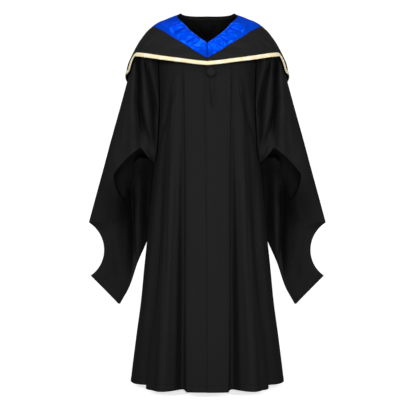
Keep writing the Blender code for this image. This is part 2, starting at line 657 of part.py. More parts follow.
def trimmed(path, share, level, outer_first=False):
    """Points at shares of each path, which is cut off at the crescent and eased to the seam there."""
    length = np.sum(np.linalg.norm(np.diff(path, axis=-2), axis=-1), axis=-1)
    cut = crescent(level) / length
    point = along_path(path, cut + (1 - cut) * share if outer_first else (1 - cut) * share)
    edge = along_path(path, cut if outer_first else 1 - cut)
    seam = sleeve_outer(level) - np.stack([crescent(level), 0 * level], axis=-1)
    near = ease(CRESCENT_EASE, 0, np.linalg.norm(point - edge, axis=-1))
    return point + (seam - edge) * near[..., None]


PATH_STEPS = 40
SIDE_STEPS = 14
NEAR_PULL = 0.38
NEAR_REAR_PULL = 0.4
STEEPEST = 2.5
HOOD_FLARE = 1.2
UPPER_FADE = (0.12, 0.86)
LOWER_FADE = (0.25, 0.75)
JOIN_SHARE = SLIT_END - 0.25
JOIN_LEVEL = -0.74
REAR_FOLDS = (-0.47, -0.62)
SEAM_HALF = 0.9 * SEAM
BACK_SHEET_COLUMNS = 13


def sheet_path(level, inner_column, reach_in, reach_out, direction):
    """Plan of a sleeve sheet from its inner to its outer edge, bowed forwards or backwards."""
    start = sleeve_inner(level, inner_column)
    end = sleeve_outer(level)
    wide = (end - start)[..., 0]
    pull = curve(SLEEVE_ROWS, "level", "pull", level)
    near = start + np.stack([NEAR_PULL * wide, direction * reach_in], axis=-1)
    far = end + np.stack([-pull * wide, direction * reach_out], axis=-1)
    t = np.linspace(0, 1, PATH_STEPS)[:, None]
    return bezier(start[..., None, :], near[..., None, :], far[..., None, :], end[..., None, :], t)


def row(column, level):
    """Column of the sleeve's table at a level."""
    return curve(SLEEVE_ROWS, "level", column, level)


def sleeve_folds(folds, x, level):
    """How far the folds move a sleeve's sheet forwards."""
    moved = 0 * x
    for fold in folds:
        down = np.clip((fold.start - level) / (fold.start - fold.end), 0, 1)
        middle = fold.x_top + (fold.x_low - fold.x_top) * down
        size = np.sin(math.pi * np.clip(down * 0.9 + 0.1, 0, 1)) ** 0.5
        moved = moved + fold.depth * size * np.exp(-((x - middle) / fold.spread) ** 2)
    return moved


def lower_folds(x, level):
    """Folds that both sheets share below the slit, fading towards the inner and outer edges."""
    inner = sleeve_inner(level, "lower")[..., 0]
    outer = sleeve_outer(level)[..., 0]
    share = (x - inner) / np.maximum(outer - inner, MM)
    return sleeve_folds(LOWER_FOLDS, x, level) * ease(0, LOWER_FADE[0], share) * ease(1, LOWER_FADE[1], share)


def between_body_and_cape(point, clear):
    """Moves a sleeve's points clear of the body's wall and in under the cape, along the radius."""
    x, y, level = point[..., 0], point[..., 1], point[..., 2]
    turn = np.arctan2(x, -y)
    r = np.hypot(x, y)
    least = body_radius(turn, level) + (WALL + clear) * steepness(body_radius, turn, level)
    room = WALL + SEAM + CAPE_ROOM
    most = hood_radius(turn, level) - room * np.minimum(steepness(hood_radius, turn, level), STEEPEST)
    most = most + HOOD_FLARE * np.clip(hood_edge("hem", turn) - level, 0, None)
    fixed = np.maximum(np.minimum(r, most), least)
    return np.stack([x * fixed / r, y * fixed / r, level], axis=-1)


def raise_path(path_xy, level):
    """Adds the level to plan points."""
    return np.concatenate([path_xy, (level + 0 * path_xy[..., 0])[..., None]], axis=-1)


def upper_front(share, level):
    """Front sheet of the sleeve above the slit, and beside it."""
    path = sheet_path(level, "upper", row("fore_in", level), row("fore_out", level), -1)
    point = trimmed(path, share, level)
    fade = ease(0, UPPER_FADE[0], share) * ease(1, UPPER_FADE[1], share)
    forward = sleeve_folds(UPPER_FOLDS, point[..., 0], level) * fade
    return point - np.stack([0 * forward, forward], axis=-1)


def lower_front(share, level):
    """Front sheet below the slit.  Beside the slit's end it starts as the upper sheet's own surface."""
    path = sheet_path(level, "lower", row("low_in", level), row("low_out", level), -1)
    point = trimmed(path, share, level)
    forward = lower_folds(point[..., 0], level)
    point = point - np.stack([0 * forward, forward], axis=-1)
    above = ease(JOIN_SHARE, SLIT_END, share) * ease(JOIN_LEVEL, SLIT_LEVEL, level)
    return point + (upper_front(share, level) - point) * above[..., None]


def front_point(sheet, clear):
    """Surface of a front sheet in space, clear of the body, the cape and the back sheet."""
    def point_at(share, level):
        plan = sheet(np.clip(share, 0, 1), level)
        point = between_body_and_cape(raise_path(plan, level), clear)
        return point - np.array([0, SEAM_HALF, 0])
    return point_at


def back_point(share, level):
    """Surface of the back sheet: from the outer edge round behind, then along the body's side."""
    share = np.clip(share, 0, 1)
    path = sheet_path(level, "back", NEAR_REAR_PULL * row("rear", level), row("rear", level), 1)[..., ::-1, :]
    start = np.radians(row("back", level))
    stop = np.radians(row("under", level))
    t = np.linspace(0, 1, SIDE_STEPS)[1:]
    turn = start[..., None] + (stop - start)[..., None] * t
    side = on_surface(body_radius, turn, level[..., None] + 0 * turn)[..., :2]
    keep = ease(INNER_EDGE_START, BODY_SIDE_END, level)[..., None, None]
    side = path[..., -1:, :] + (side - path[..., -1:, :]) * keep
    point = trimmed(np.concatenate([path, side], axis=-2), share, level, True)
    forward = lower_folds(point[..., 0], level) * ease(*REAR_FOLDS, level)
    point = point - np.stack([0 * forward, forward], axis=-1)
    point = between_body_and_cape(raise_path(point, level), WALL + REAR_ROOM)
    return point + np.array([0, SEAM_HALF, 0])


def central_normal(point_at, share, level):
    """Normal of a sleeve sheet, from steps that stay on the sheet at its edges."""
    step = 4e-3
    low, high = np.clip(share - step, 0, 1), np.clip(share + step, 0, 1)
    along = point_at(high, level) - point_at(low, level)
    up = point_at(share, level + 5e-4) - point_at(share, level - 5e-4)
    normal = np.cross(along, up)
    return normal / np.maximum(np.linalg.norm(normal, axis=-1, keepdims=True), 1e-12)


UPPER_LEVELS = (SLEEVE_HEAD, -0.075, -0.105, -0.15, -0.21, -0.29, -0.37)
UPPER_SHARES = (0.0, 0.16, 0.38, 0.60, 0.80)
SLEEVE_COLUMNS = (0.0, 0.06, 0.13, 0.20, 0.27, 0.34, 0.41, 0.48, 0.54, 0.60, SLIT_END, 0.76, 0.88, 1.0)
LOWER_LEVELS = (-0.595, -0.64, -0.675, -0.7095, -0.745, -0.785, -0.82, -0.86, -0.8947, -0.935, -0.97, -0.9925)
BACK_LEVELS = (SLEEVE_HEAD, -0.075, -0.105, -0.15, -0.21, -0.275, -0.30, -0.325, -0.35, -0.395, -0.436, -0.462, -0.489,
               SLIT_LEVEL) + LOWER_LEVELS


def mirrored(points, side):
    """Points on the wearer's left, or their mirror image on the right."""
    return points * np.array([side, 1, 1])


def build_sleeve_front(side, word):
    """Front sheet in one piece, slit from the inner edge to the slit's outer end."""
    share = np.array(SLEEVE_COLUMNS)
    upper_lip = curve(SLIT_LIPS, "across", "upper", share)
    lower_lip = curve(SLIT_LIPS, "across", "lower", share)
    start = UPPER_LEVELS[-1]
    upper = [level + 0 * share for level in UPPER_LEVELS]
    upper += [start + (upper_lip - start) * t for t in UPPER_SHARES[1:]] + [upper_lip]
    shares = (np.array((SLIT_LEVEL, *LOWER_LEVELS)) - SLIT_LEVEL) / (SLEEVE_TIP.level - SLIT_LEVEL)
    lower = [lower_lip + (SLEEVE_TIP.level - lower_lip) * t for t in shares]
    parts = []
    for sheet, rows, clear in ((upper_front, upper, FRONT_ROOM), (lower_front, lower, WALL + REAR_ROOM)):
        level = np.array(rows)
        across = share + np.zeros((len(rows), 1))
        place = front_point(sheet, clear)
        parts.append((place(across, level), central_normal(place, across, level)))
    points = np.concatenate([part[0].reshape(-1, 3) for part in parts])
    normals = np.concatenate([part[1].reshape(-1, 3) for part in parts])
    columns = len(share)
    first = len(upper) * columns
    joined = {first + c: first - columns + c for c in range(columns) if share[c] >= SLIT_END}
    quads = grid_quads(len(upper), columns)
    quads += [tuple(joined.get(i + first, i + first) for i in quad)
              for quad in grid_quads(len(lower), columns)]
    name = "sleeve_" + word + "_front"
    add_wall(name, mirrored(points, side), mirrored(normals, side), quads, 0, WALL, GOWN_CLOTH)


def build_sleeve_back(side, word):
    """Back sheet, which also closes the sleeve under the arm."""
    share = spread(BACK_SHEET_COLUMNS) + np.zeros((len(BACK_LEVELS), 1))
    level = np.array(BACK_LEVELS)[:, None] + 0 * share
    points = back_point(share, level)
    normals = central_normal(back_point, share, level)
    quads = grid_quads(*share.shape)
    name = "sleeve_" + word + "_back"
    add_wall(name, mirrored(points, side), mirrored(normals, side), quads, 0, WALL, GOWN_CLOTH)


def turned(name, profile, middle, look):
    """Solid turned about the Y axis at a middle point, from (radius, y) pairs, front to back."""
    angles = np.arange(BUTTON_SIDES) * 2 * math.pi / BUTTON_SIDES
    points = [(middle[0], middle[1] + profile[0][1], middle[2])]
    for radius, y in profile[1:-1]:
        points += [(middle[0] + radius * math.cos(a), middle[1] + y, middle[2] + radius * math.sin(a))
                   for a in angles]
    points.append((middle[0], middle[1] + profile[-1][1], middle[2]))
    rings = len(profile) - 2
    last = len(points) - 1
    faces = [(0, 1 + (k + 1) % BUTTON_SIDES, 1 + k) for k in range(BUTTON_SIDES)]
    faces = [tuple(reversed(face)) for face in faces]
    for ring in range(rings - 1):
        a, b = 1 + ring * BUTTON_SIDES, 1 + (ring + 1) * BUTTON_SIDES
        faces += [(a + k, b + k, b + (k + 1) % BUTTON_SIDES, a + (k + 1) % BUTTON_SIDES)
                  for k in range(BUTTON_SIDES)]
    a = 1 + (rings - 1) * BUTTON_SIDES
    faces += [(a + k, last, a + (k + 1) % BUTTON_SIDES) for k in range(BUTTON_SIDES)]
    return add_object(name, points, faces, look)


def band_face(level):
    """Y of the outer face of the upper front band at the centre, flat between its rows."""
    return BAND_SAG - float(body_radius(np.array(0.0), np.array(level))) - 3 * WALL - BAND_ROOM - SEAM


def build_button():
    """Covered button, domed, with a rim round a sunken groove."""
    x, level = BUTTON_PLACE
    r, thick = BUTTON_RADIUS, BUTTON_THICK
    seat = band_face(level - r) - SEAM
    profile = ((0, -thick), (0.40 * r, -0.96 * thick), (0.74 * r, -0.80 * thick), (0.84 * r, -0.62 * thick),
               (0.93 * r, -0.66 * thick), (r, -0.45 * thick), (0.96 * r, -0.15 * thick), (0.8 * r, 0), (0, 0))
    turned("button", profile, (x, seat, level), GOWN_CLOTH)


def build_loop():
    """Short arched loop beside the button, of square section."""
    x, level = LOOP_PLACE
    half = LOOP_THICK / 2
    middle = band_face(level) - SEAM - half
    ring = []
    for k in range(LOOP_STEPS):
        a = math.pi * k / (LOOP_STEPS - 1)
        for reach in (LOOP_REACH - half, LOOP_REACH + half):
            for depth in (-half, half):
                ring.append((x + reach * math.cos(a), middle + depth, level + reach * math.sin(a)))
    last = 4 * (LOOP_STEPS - 1)
    faces = [(0, 1, 3, 2), (last, last + 2, last + 3, last + 1)]
    for k in range(LOOP_STEPS - 1):
        a, b = 4 * k, 4 * k + 4
        faces += [(a, a + 2, b + 2, b), (a + 2, a + 3, b + 3, b + 2), (a + 3, a + 1, b + 1, b + 3),
                  (a + 1, a, b, b + 1)]
    add_object("button_loop", ring, faces, GOWN_CLOTH)


def main():
    """Clears the scene and builds the gown and its hood."""
    for old in list(bpy.data.objects):
        bpy.data.objects.remove(old, do_unlink=True)
    build_yoke()
    build_neckband()
    build_back()
    for side, word in ((-1, "right"), (1, "left")):
        build_front(side, word)
        build_band(side, word)
        build_sleeve_front(side, word)
        build_sleeve_back(side, word)
        build_hood(side, word)
    build_trim()
    build_cowl()
    build_button()
    build_loop()


main()
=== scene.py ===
"""Master's graduation gown with its hood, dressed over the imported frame.

Metres, +Z up, the front faces -Y and the wearer's left is +X.  A turn about the upright axis, from the
front centre towards the wearer's left, and a level give a point on the gown's body or on the hood.  A
sleeve's sheets are curves in plan, one at each level.  Each piece of cloth is a grid of such points,
moved along its normal by its creases and given its thickness by a Solidify modifier.
"""
from __future__ import annotations

import json
import logging
import math
from dataclasses import dataclass
from dataclasses import field
from enum import Enum
from typing import Callable
from typing import NamedTuple

import bpy
import numpy as np
from bpy.types import Material
from bpy.types import NodeSocket
from bpy.types import Object
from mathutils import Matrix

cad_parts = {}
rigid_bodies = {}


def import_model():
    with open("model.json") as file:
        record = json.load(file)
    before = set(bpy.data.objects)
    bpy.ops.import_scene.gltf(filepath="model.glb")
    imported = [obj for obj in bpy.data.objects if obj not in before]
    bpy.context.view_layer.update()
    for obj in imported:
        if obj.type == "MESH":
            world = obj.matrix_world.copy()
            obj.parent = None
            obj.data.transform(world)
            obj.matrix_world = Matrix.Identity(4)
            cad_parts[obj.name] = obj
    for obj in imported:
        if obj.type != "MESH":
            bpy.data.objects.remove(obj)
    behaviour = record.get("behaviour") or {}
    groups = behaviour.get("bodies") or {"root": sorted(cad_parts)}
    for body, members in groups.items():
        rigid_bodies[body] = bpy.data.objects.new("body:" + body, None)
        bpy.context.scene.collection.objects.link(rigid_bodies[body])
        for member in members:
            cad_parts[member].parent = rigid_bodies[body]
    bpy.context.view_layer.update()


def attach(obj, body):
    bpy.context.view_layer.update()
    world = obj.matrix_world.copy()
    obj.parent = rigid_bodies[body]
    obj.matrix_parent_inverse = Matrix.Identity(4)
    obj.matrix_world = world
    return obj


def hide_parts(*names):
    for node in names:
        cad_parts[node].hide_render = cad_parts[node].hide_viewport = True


LOG = logging.getLogger("gown")
MM = 0.001
WALL = 1.6 * MM
CLOTH = 1.3 * MM
SEAM = 0.3 * MM
HEM = -1.248
YOKE_SEAM = -0.047
NECKBAND_HEIGHT = 16 * MM
BAND_LAP = 7 * MM
BAND_ROOM = 0.8 * MM
BAND_SAG = 0.4 * MM
CENTRE_LAP = 16 * MM
SQUARENESS = 2.3
CAPE_ROOM = 1.2 * MM
FRONT_ROOM = 2.4 * MM
REAR_ROOM = 3.4 * MM
TRIM_HEIGHT = 12.8 * MM
TRIM_ROOM = 1.2 * MM
GOWN_NECK_DROP = 5 * MM
COWL_ROOM = 1.5 * MM
HEM_TURN = 19 * MM
TINY = 1e-12
BODY = "root"
SIDES = ((-1, "right"), (1, "left"))

Array = np.ndarray
Pair = tuple[float, float]
Triple = tuple[float, float, float]
Surface = Callable[[Array, Array], Array]


class Ring(NamedTuple):
    """Ring of a form: its level, half width, and depth in front of and behind the axis."""

    level: float
    side: float
    front: float
    back: float


class Fold(NamedTuple):
    """Fold of the body: turns at the top and hem, half width in degrees, depth at the hem, and levels."""

    turn_top: float
    turn_hem: float
    spread: float
    depth: float
    start: float
    full: float
    gone: float | None


class HoodEdge(NamedTuple):
    """Levels of the hood's neck edge, of the satin's outer edge and of the cape's hem, at a turn."""

    turn: float
    neck: float
    satin: float
    hem: float


class BodyEdge(NamedTuple):
    """Turns of a band's outer edge and of the armhole's two edges, at a level."""

    level: float
    band: float
    armhole_front: float
    armhole_back: float


class EdgePoint(NamedTuple):
    """Point in plan of a sleeve's free edge, at a level."""

    level: float
    x: float
    y: float


class SleeveRow(NamedTuple):
    """Section of a sleeve: turns where its sheets leave the body, and how far each sheet bows."""

    level: float
    upper: float
    lower: float
    back: float
    under: float
    fore_in: float
    fore_out: float
    low_in: float
    low_out: float
    rear: float
    pull: float


class Lip(NamedTuple):
    """Levels of the arm slit's two edges, at a share of the way across the front sheet."""

    across: float
    upper: float
    lower: float


class SleeveFold(NamedTuple):
    """Large fold of a sleeve: places at the top and bottom, half width, depth forwards, and levels."""

    x_top: float
    x_low: float
    spread: float
    depth: float
    start: float
    end: float


class CowlRow(NamedTuple):
    """Half widths of the cowl and of its lining, and how far it puffs out, at a level."""

    level: float
    cowl: float
    lining: float
    puff: float


class Groove(NamedTuple):
    """Groove down a side panel: distance from its band, half width, depth, and levels where it grows."""

    place: float
    spread: float
    depth: float
    start: float
    full: float


class Lamp(NamedTuple):
    """Square area light: its place, the point that it is turned towards, its width and its power."""

    name: str
    place: Triple
    aim: Triple
    size: float
    power: float


class Crease(NamedTuple):
    """Soft crease from one point to another in millimetres: across, level, width and height.

    A height above zero is a ridge and one below zero is a trough.  A lean above zero makes the slope on
    the far side steeper.  side is 1 for the wearer's left alone, -1 for the right alone and 0 for both.
    """

    x_from: float
    z_from: float
    x_to: float
    z_to: float
    width: float
    height: float
    lean: float = 0.0
    side: int = 0


def rows_of(kind: type, *rows: tuple) -> tuple:
    """Table of rows with the named columns of their kind."""
    return tuple(kind(*row) for row in rows)


BODY_RINGS = rows_of(
    Ring, (0.024, 0.079, 0.042, 0.054), (0.01, 0.0828, 0.0508, 0.0612), (-0.005, 0.101, 0.0652, 0.0758),
    (-0.022, 0.139, 0.081, 0.0885), (-0.04, 0.17, 0.0948, 0.0995), (-0.06, 0.18, 0.107, 0.11),
    (-0.09, 0.181, 0.119, 0.119), (-0.13, 0.179, 0.13, 0.127), (-0.19, 0.173, 0.1495, 0.134),
    (-0.295, 0.167, 0.1575, 0.136), (-0.38, 0.1695, 0.1585, 0.135), (-0.5, 0.18, 0.1605, 0.136),
    (-0.62, 0.191, 0.165, 0.139), (-0.776, 0.2035, 0.173, 0.147), (-0.862, 0.2116, 0.178, 0.154),
    (-0.976, 0.2215, 0.185, 0.165), (-1.09, 0.236, 0.192, 0.176), (-1.248, 0.2545, 0.1985, 0.19),
)
HOOD_RINGS = rows_of(
    Ring, (0.026, 0.08, 0.042, 0.054), (0.013, 0.085, 0.052, 0.062), (0.0056, 0.0905, 0.058, 0.07),
    (-0.003, 0.104, 0.068, 0.079), (-0.02, 0.143, 0.084, 0.092), (-0.0387, 0.183, 0.099, 0.104),
    (-0.0577, 0.2064, 0.109, 0.112), (-0.0763, 0.2212, 0.118, 0.119), (-0.0973, 0.2356, 0.127, 0.126),
    (-0.12, 0.248, 0.136, 0.132), (-0.135, 0.2556, 0.142, 0.136), (-0.176, 0.2725, 0.155, 0.144),
    (-0.203, 0.277, 0.162, 0.148), (-0.26, 0.284, 0.168, 0.154), (-0.34, 0.284, 0.17, 0.159),
    (-0.48, 0.27, 0.17, 0.166), (-0.66, 0.25, 0.17, 0.176),
)
BODY_FOLDS = rows_of(
    Fold, (31.0, 27.5, 5.0, -0.036, -0.2, -1.25, None), (33.0, 39.5, 6.5, 0.02, -0.24, -1.25, None),
    (42.0, 50.0, 5.0, 0.01, -0.5, -1.1, None), (54.0, 64.0, 6.0, -0.03, -0.46, -1.25, None),
    (40.0, 78.0, 5.0, -0.007, -0.2, -0.36, -0.56), (82.0, 84.0, 8.0, 0.006, -0.6, -1.2, None),
    (100.0, 98.0, 6.0, -0.02, -0.45, -1.25, None), (112.0, 112.0, 6.0, 0.018, -0.3, -1.25, None),
    (122.0, 124.0, 5.5, -0.022, -0.12, -1.25, None), (134.0, 136.0, 5.5, 0.017, -0.1, -1.25, None),
    (144.0, 147.0, 5.0, -0.021, -0.09, -1.25, None), (156.0, 158.0, 5.0, 0.016, -0.08, -1.25, None),
    (167.0, 169.0, 5.0, -0.02, -0.08, -1.25, None), (180.0, 180.0, 5.5, 0.018, -0.08, -1.25, None),
)
HOOD_EDGES = rows_of(
    HoodEdge, (0.0, -0.1205, -0.1745, -0.1984), (13.3, -0.0978, -0.1535, -0.1948),
    (28.2, -0.0707, -0.127, -0.188), (37.6, -0.0498, -0.1105, -0.183), (47.5, -0.033, -0.0926, -0.1765),
    (57.5, -0.0189, -0.0735, -0.168), (68.0, -0.006, -0.0575, -0.158), (73.5, 0.0, -0.0508, -0.154),
    (73.9, 0.0002, -0.0506, -0.159), (74.5, 0.0005, -0.0503, -0.18), (75.2, 0.0009, -0.0499, -0.1995),
    (77.5, 0.0019, -0.0486, -0.207), (85.0, 0.0055, -0.045, -0.21), (90.0, 0.007, -0.045, -0.214),
    (100.0, 0.0085, -0.045, -0.227), (120.0, 0.01, -0.045, -0.256), (145.0, 0.0115, -0.045, -0.296),
    (180.0, 0.013, -0.045, -0.32),
)
BODY_EDGES = rows_of(
    BodyEdge, (-0.047, 46.0, 88.0, 92.0), (-0.07, 39.5, 79.0, 102.0), (-0.1, 33.5, 73.5, 108.0),
    (-0.15, 29.8, 71.0, 111.0), (-0.21, 27.9, 70.5, 112.0), (-0.26, 27.2, 72.0, 111.0),
    (-0.3, 26.8, 77.0, 105.0), (-0.33, 26.6, 89.9, 90.1), (-0.47, 26.0, 89.9, 90.1),
    (-0.634, 25.2, 89.9, 90.1), (-0.956, 21.5, 89.9, 90.1), (-1.248, 18.8, 89.9, 90.1),
)
SLEEVE_OUTER = rows_of(
    EdgePoint, (-0.052, 0.184, 0.004), (-0.07, 0.208, 0.004), (-0.1, 0.23, 0.002), (-0.139, 0.25, 0.0),
    (-0.17, 0.2605, 0.0), (-0.2025, 0.2665, 0.0), (-0.254, 0.2805, 0.002), (-0.45, 0.337, 0.012),
    (-0.7095, 0.4096, 0.02),
)
SLEEVE_INNER = rows_of(
    EdgePoint, (-0.6, 0.172, 0.078), (-0.65, 0.176, 0.078), (-0.71, 0.189, 0.076), (-0.773, 0.211, 0.066),
    (-0.85, 0.2437, 0.052), (-0.934, 0.2718, 0.04), (-0.9925, 0.304, 0.03),
)
CORNER_TOP = SLEEVE_OUTER[-1]
CORNER_LOW = EdgePoint(-0.8947, 0.4052, 0.030)
SLEEVE_TIP = EdgePoint(-0.9925, 0.3080, 0.030)
CRESCENT_DEPTH = 0.049
CRESCENT_EASE = 0.055
SLEEVE_ROWS = rows_of(
    SleeveRow, (-0.052, 86.0, 92.0, 94.0, 94.0, 0.012, 0.014, 0.0, 0.014, 0.016, 0.0),
    (-0.07, 76.0, 92.0, 104.0, 104.0, 0.016, 0.034, 0.0, 0.034, 0.034, 0.0),
    (-0.1, 70.5, 92.0, 111.0, 111.0, 0.018, 0.06, 0.0, 0.06, 0.056, 0.0),
    (-0.15, 68.0, 92.0, 114.0, 114.0, 0.02, 0.08, 0.0, 0.08, 0.075, 0.0),
    (-0.21, 67.5, 92.0, 115.0, 115.0, 0.022, 0.09, 0.0, 0.09, 0.086, 0.0),
    (-0.29, 68.0, 92.0, 115.0, 109.0, 0.024, 0.098, 0.0, 0.098, 0.092, 0.0),
    (-0.325, 68.0, 92.0, 115.0, 92.0, 0.024, 0.1, 0.0, 0.1, 0.094, 0.0),
    (-0.35, 68.0, 92.0, 115.0, 71.0, 0.024, 0.1, 0.0, 0.1, 0.094, 0.0),
    (-0.436, 69.0, 93.0, 115.0, 72.0, 0.024, 0.088, 0.01, 0.086, 0.084, 0.0),
    (-0.489, 69.5, 94.0, 115.0, 99.0, 0.024, 0.078, 0.016, 0.074, 0.074, 0.02),
    (-0.55, 71.0, 106.0, 115.0, 108.0, 0.022, 0.061, 0.022, 0.059, 0.059, 0.05),
    (-0.62, 72.0, 111.0, 115.0, 112.0, 0.02, 0.044, 0.026, 0.043, 0.043, 0.12),
    (-0.68, 72.0, 112.0, 115.0, 112.0, 0.018, 0.031, 0.026, 0.031, 0.031, 0.19),
    (-0.7095, 72.0, 112.0, 115.0, 112.0, 0.016, 0.026, 0.025, 0.026, 0.026, 0.22),
    (-0.75, 72.0, 112.0, 115.0, 112.0, 0.015, 0.02, 0.024, 0.02, 0.021, 0.26),
    (-0.81, 72.0, 112.0, 115.0, 112.0, 0.014, 0.013, 0.022, 0.013, 0.015, 0.31),
    (-0.895, 72.0, 112.0, 115.0, 112.0, 0.01, 0.006, 0.014, 0.006, 0.008, 0.35),
    (-0.9925, 72.0, 112.0, 115.0, 112.0, 0.002, 0.002, 0.002, 0.002, 0.002, 0.35),
)
SLIT_LIPS = rows_of(
    Lip, (0.0, -0.514, -0.49), (0.14, -0.49, -0.488), (0.28, -0.4598, -0.488), (0.38, -0.48, -0.505),
    (0.44, -0.493, -0.57), (0.51, -0.509, -0.635), (0.58, -0.527, -0.608), (0.62, -0.538, -0.58),
    (0.65, -0.5502, -0.5502),
)
UPPER_FOLDS = rows_of(
    SleeveFold, (0.252, 0.246, 0.019, 0.012, -0.12, -0.62), (0.229, 0.222, 0.012, -0.016, -0.12, -0.5),
    (0.212, 0.16, 0.013, -0.012, -0.12, -0.46), (0.204, 0.2, 0.017, 0.009, -0.24, -0.56),
)
LOWER_FOLDS = rows_of(
    SleeveFold, (0.266, 0.258, 0.014, -0.007, -0.52, -0.93), (0.226, 0.24, 0.022, 0.01, -0.46, -0.93),
)
COWL_ROWS = rows_of(
    CowlRow, (-0.05, 0.078, 0.06, 0.0), (-0.09, 0.104, 0.076, 0.01), (-0.15, 0.122, 0.082, 0.022),
    (-0.24, 0.128, 0.076, 0.032), (-0.34, 0.124, 0.062, 0.036), (-0.42, 0.115, 0.047, 0.035),
    (-0.455, 0.109, 0.034, 0.034), (-0.47, 0.107, 0.024, 0.033), (-0.478, 0.105, 0.013, 0.033),
    (-0.48, 0.104, 0.003, 0.033), (-0.53, 0.091, 0.003, 0.028), (-0.58, 0.068, 0.003, 0.02),
    (-0.61, 0.047, 0.003, 0.013), (-0.624, 0.03, 0.003, 0.01), (-0.63, 0.006, 0.003, 0.008),
)
BAND_GROOVES = rows_of(
    Groove, (9 * MM, 5 * MM, 5.5 * MM, -0.2, -0.26), (22 * MM, 15 * MM, 6.0 * MM, -0.38, -0.62),
)
LAMPS = rows_of(
    Lamp,
    ("key", (-2.3, -1.85, 0.5), (0, 0, -0.55), 0.9, 38), ("fill", (2.3, -1.85, 0.2), (0, 0, -0.6), 0.9, 35),
    ("low", (0.0, -2.5, -1.08), (0, 0, -0.7), 0.3, 14), ("front", (0.0, -3.1, -0.2), (0, 0, -0.6), 0.8, 16),
    ("top", (0.0, -0.9, 2.2), (0, 0, -0.4), 1.2, 30),
)
SLEEVE_HEAD = -0.054
SLEEVE_FADE = -0.93
BODY_SIDE_END = -0.600
INNER_EDGE_START = -0.660
SLIT_END = SLIT_LIPS[-1].across
SLIT_LEVEL = SLIT_LIPS[-1].upper

FRONT_CREASES = rows_of(
    Crease, (104, -255, 138, -392, 9, -4.2, 0.3), (112, -240, 120, -470, 6, 2.3),
    (128, -270, 150, -560, 8, -2.9, -0.3), (96, -330, 104, -820, 7, -3.1, 0.4),
    (118, -420, 128, -1050, 6, 2.1), (146, -560, 178, -1180, 7, -3.9, 0.5),
    (134, -640, 158, -1235, 6, 2.5, -0.2), (160, -480, 170, -780, 8, -2.3, 0.0, 1),
    (108, -700, 118, -1240, 7, -2.6, 0.2, -1), (112, -860, 124, -1246, 8, -2.9, 0.2, 1),
    (170, -820, 214, -1246, 9, -3.9, 0.3), (190, -900, 226, -1240, 7, 2.6),
    (150, -250, 158, -420, 6, -2.1, 0.0, -1),
)
BAND_CREASES = rows_of(
    Crease, (9, -232, 22, -352, 4, 6.5, 0.4, 1), (2, -240, 12, -345, 5, -4.5, 0.0, 1),
    (20, -262, 32, -330, 6, -2.6, 0.0, 1), (30, -270, 52, -330, 8, -1.7, 0.0, 1),
    (24, -420, 20, -900, 16, 1.5, 0.0, 1), (46, -520, 50, -1100, 14, -1.4, 0.0, 1),
    (9, -222, 10, -500, 5, -4.0, 0.3, -1), (20, -300, 26, -620, 12, -2.4, 0.3, -1),
    (48, -260, 44, -560, 10, 1.5, 0.0, -1), (40, -700, 34, -1180, 16, -1.5, 0.0, -1),
)
CAPE_CREASES = rows_of(
    Crease, (40, -150, 120, -168, 8, -3.0, 0.2), (60, -128, 165, -150, 10, 2.5),
    (110, -104, 205, -140, 11, -3.4, 0.3), (150, -78, 225, -118, 11, 2.7),
    (176, -100, 228, -150, 10, -3.4, -0.2), (18, -168, 70, -185, 7, 1.9),
    (90, -160, 150, -176, 7, -2.3, 0.0, 1), (30, -176, 60, -192, 6, -1.9, 0.0, -1),
)
SATIN_CREASES = rows_of(
    Crease, (3, -126, 26, -158, 4, -3.6, 0.4, 1), (8, -120, 44, -138, 5, 3.4, 0.2, 1),
    (12, -112, 50, -126, 4, -3.4, 0.3, 1), (4, -140, 16, -122, 4, 2.6, 0.0, -1),
    (22, -98, 62, -126, 9, 4.2, 0.3), (34, -92, 84, -112, 7, -4.6, -0.3), (46, -72, 60, -88, 4, -2.6, 0.2),
    (58, -66, 68, -82, 3, -2.4, 0.3), (54, -76, 100, -92, 10, 4.0, 0.2), (72, -58, 118, -78, 8, -4.4, 0.3),
    (76, -46, 132, -64, 9, 3.6, 0.0, 1), (82, -40, 140, -50, 9, -3.8, 0.3, -1),
    (84, -28, 150, -42, 9, -3.4, 0.3), (20, -140, 52, -138, 8, 2.2), (96, -52, 110, -86, 9, 2.6, 0.0, 1),
    (60, -88, 64, -112, 9, -2.6, 0.0, -1),
)
SLEEVE_CREASES = rows_of(
    Crease, (226, -130, 232, -350, 9, -15.0, 0.2), (236, -280, 188, -482, 10, -21.0, 0.3),
    (218, -335, 198, -425, 6, 4.5, 0.3), (214, -130, 164, -365, 9, -12.0, 0.2),
    (190, -230, 186, -440, 15, 4.0), (246, -170, 232, -430, 14, 4.0, 0.3),
    (214, -430, 182, -500, 7, -3.4, 0.2), (286, -300, 306, -500, 14, -3.0, 0.3),
    (270, -280, 292, -470, 14, 2.6), (262, -440, 300, -520, 9, -2.6), (266, -560, 254, -925, 9, -17.0, 0.2),
    (238, -500, 240, -880, 20, 6.0), (212, -560, 216, -760, 9, -3.0, 0.3), (300, -570, 312, -860, 22, 3.0),
    (322, -540, 392, -700, 18, 2.4), (300, -600, 352, -720, 12, -2.2, 0.2, 1),
    (318, -640, 356, -760, 12, -2.0, 0.2, -1), (330, -740, 306, -930, 12, -2.0),
    (372, -890, 320, -960, 9, -1.4), (244, -700, 268, -905, 9, -2.6, 0.3, 1),
    (230, -640, 250, -860, 9, -2.4, 0.3, -1),
)
REAR_CREASES = rows_of(
    Crease, (190, -120, 236, -360, 10, -4.2, 0.3), (214, -140, 268, -420, 10, 3.6),
    (238, -180, 300, -520, 12, -3.9, 0.3), (256, -300, 330, -640, 12, 3.1),
    (226, -420, 262, -760, 10, -4.2, -0.3), (270, -520, 312, -860, 10, 3.4),
    (300, -560, 360, -720, 12, -2.8), (240, -640, 280, -900, 9, -3.6, 0.3),
)
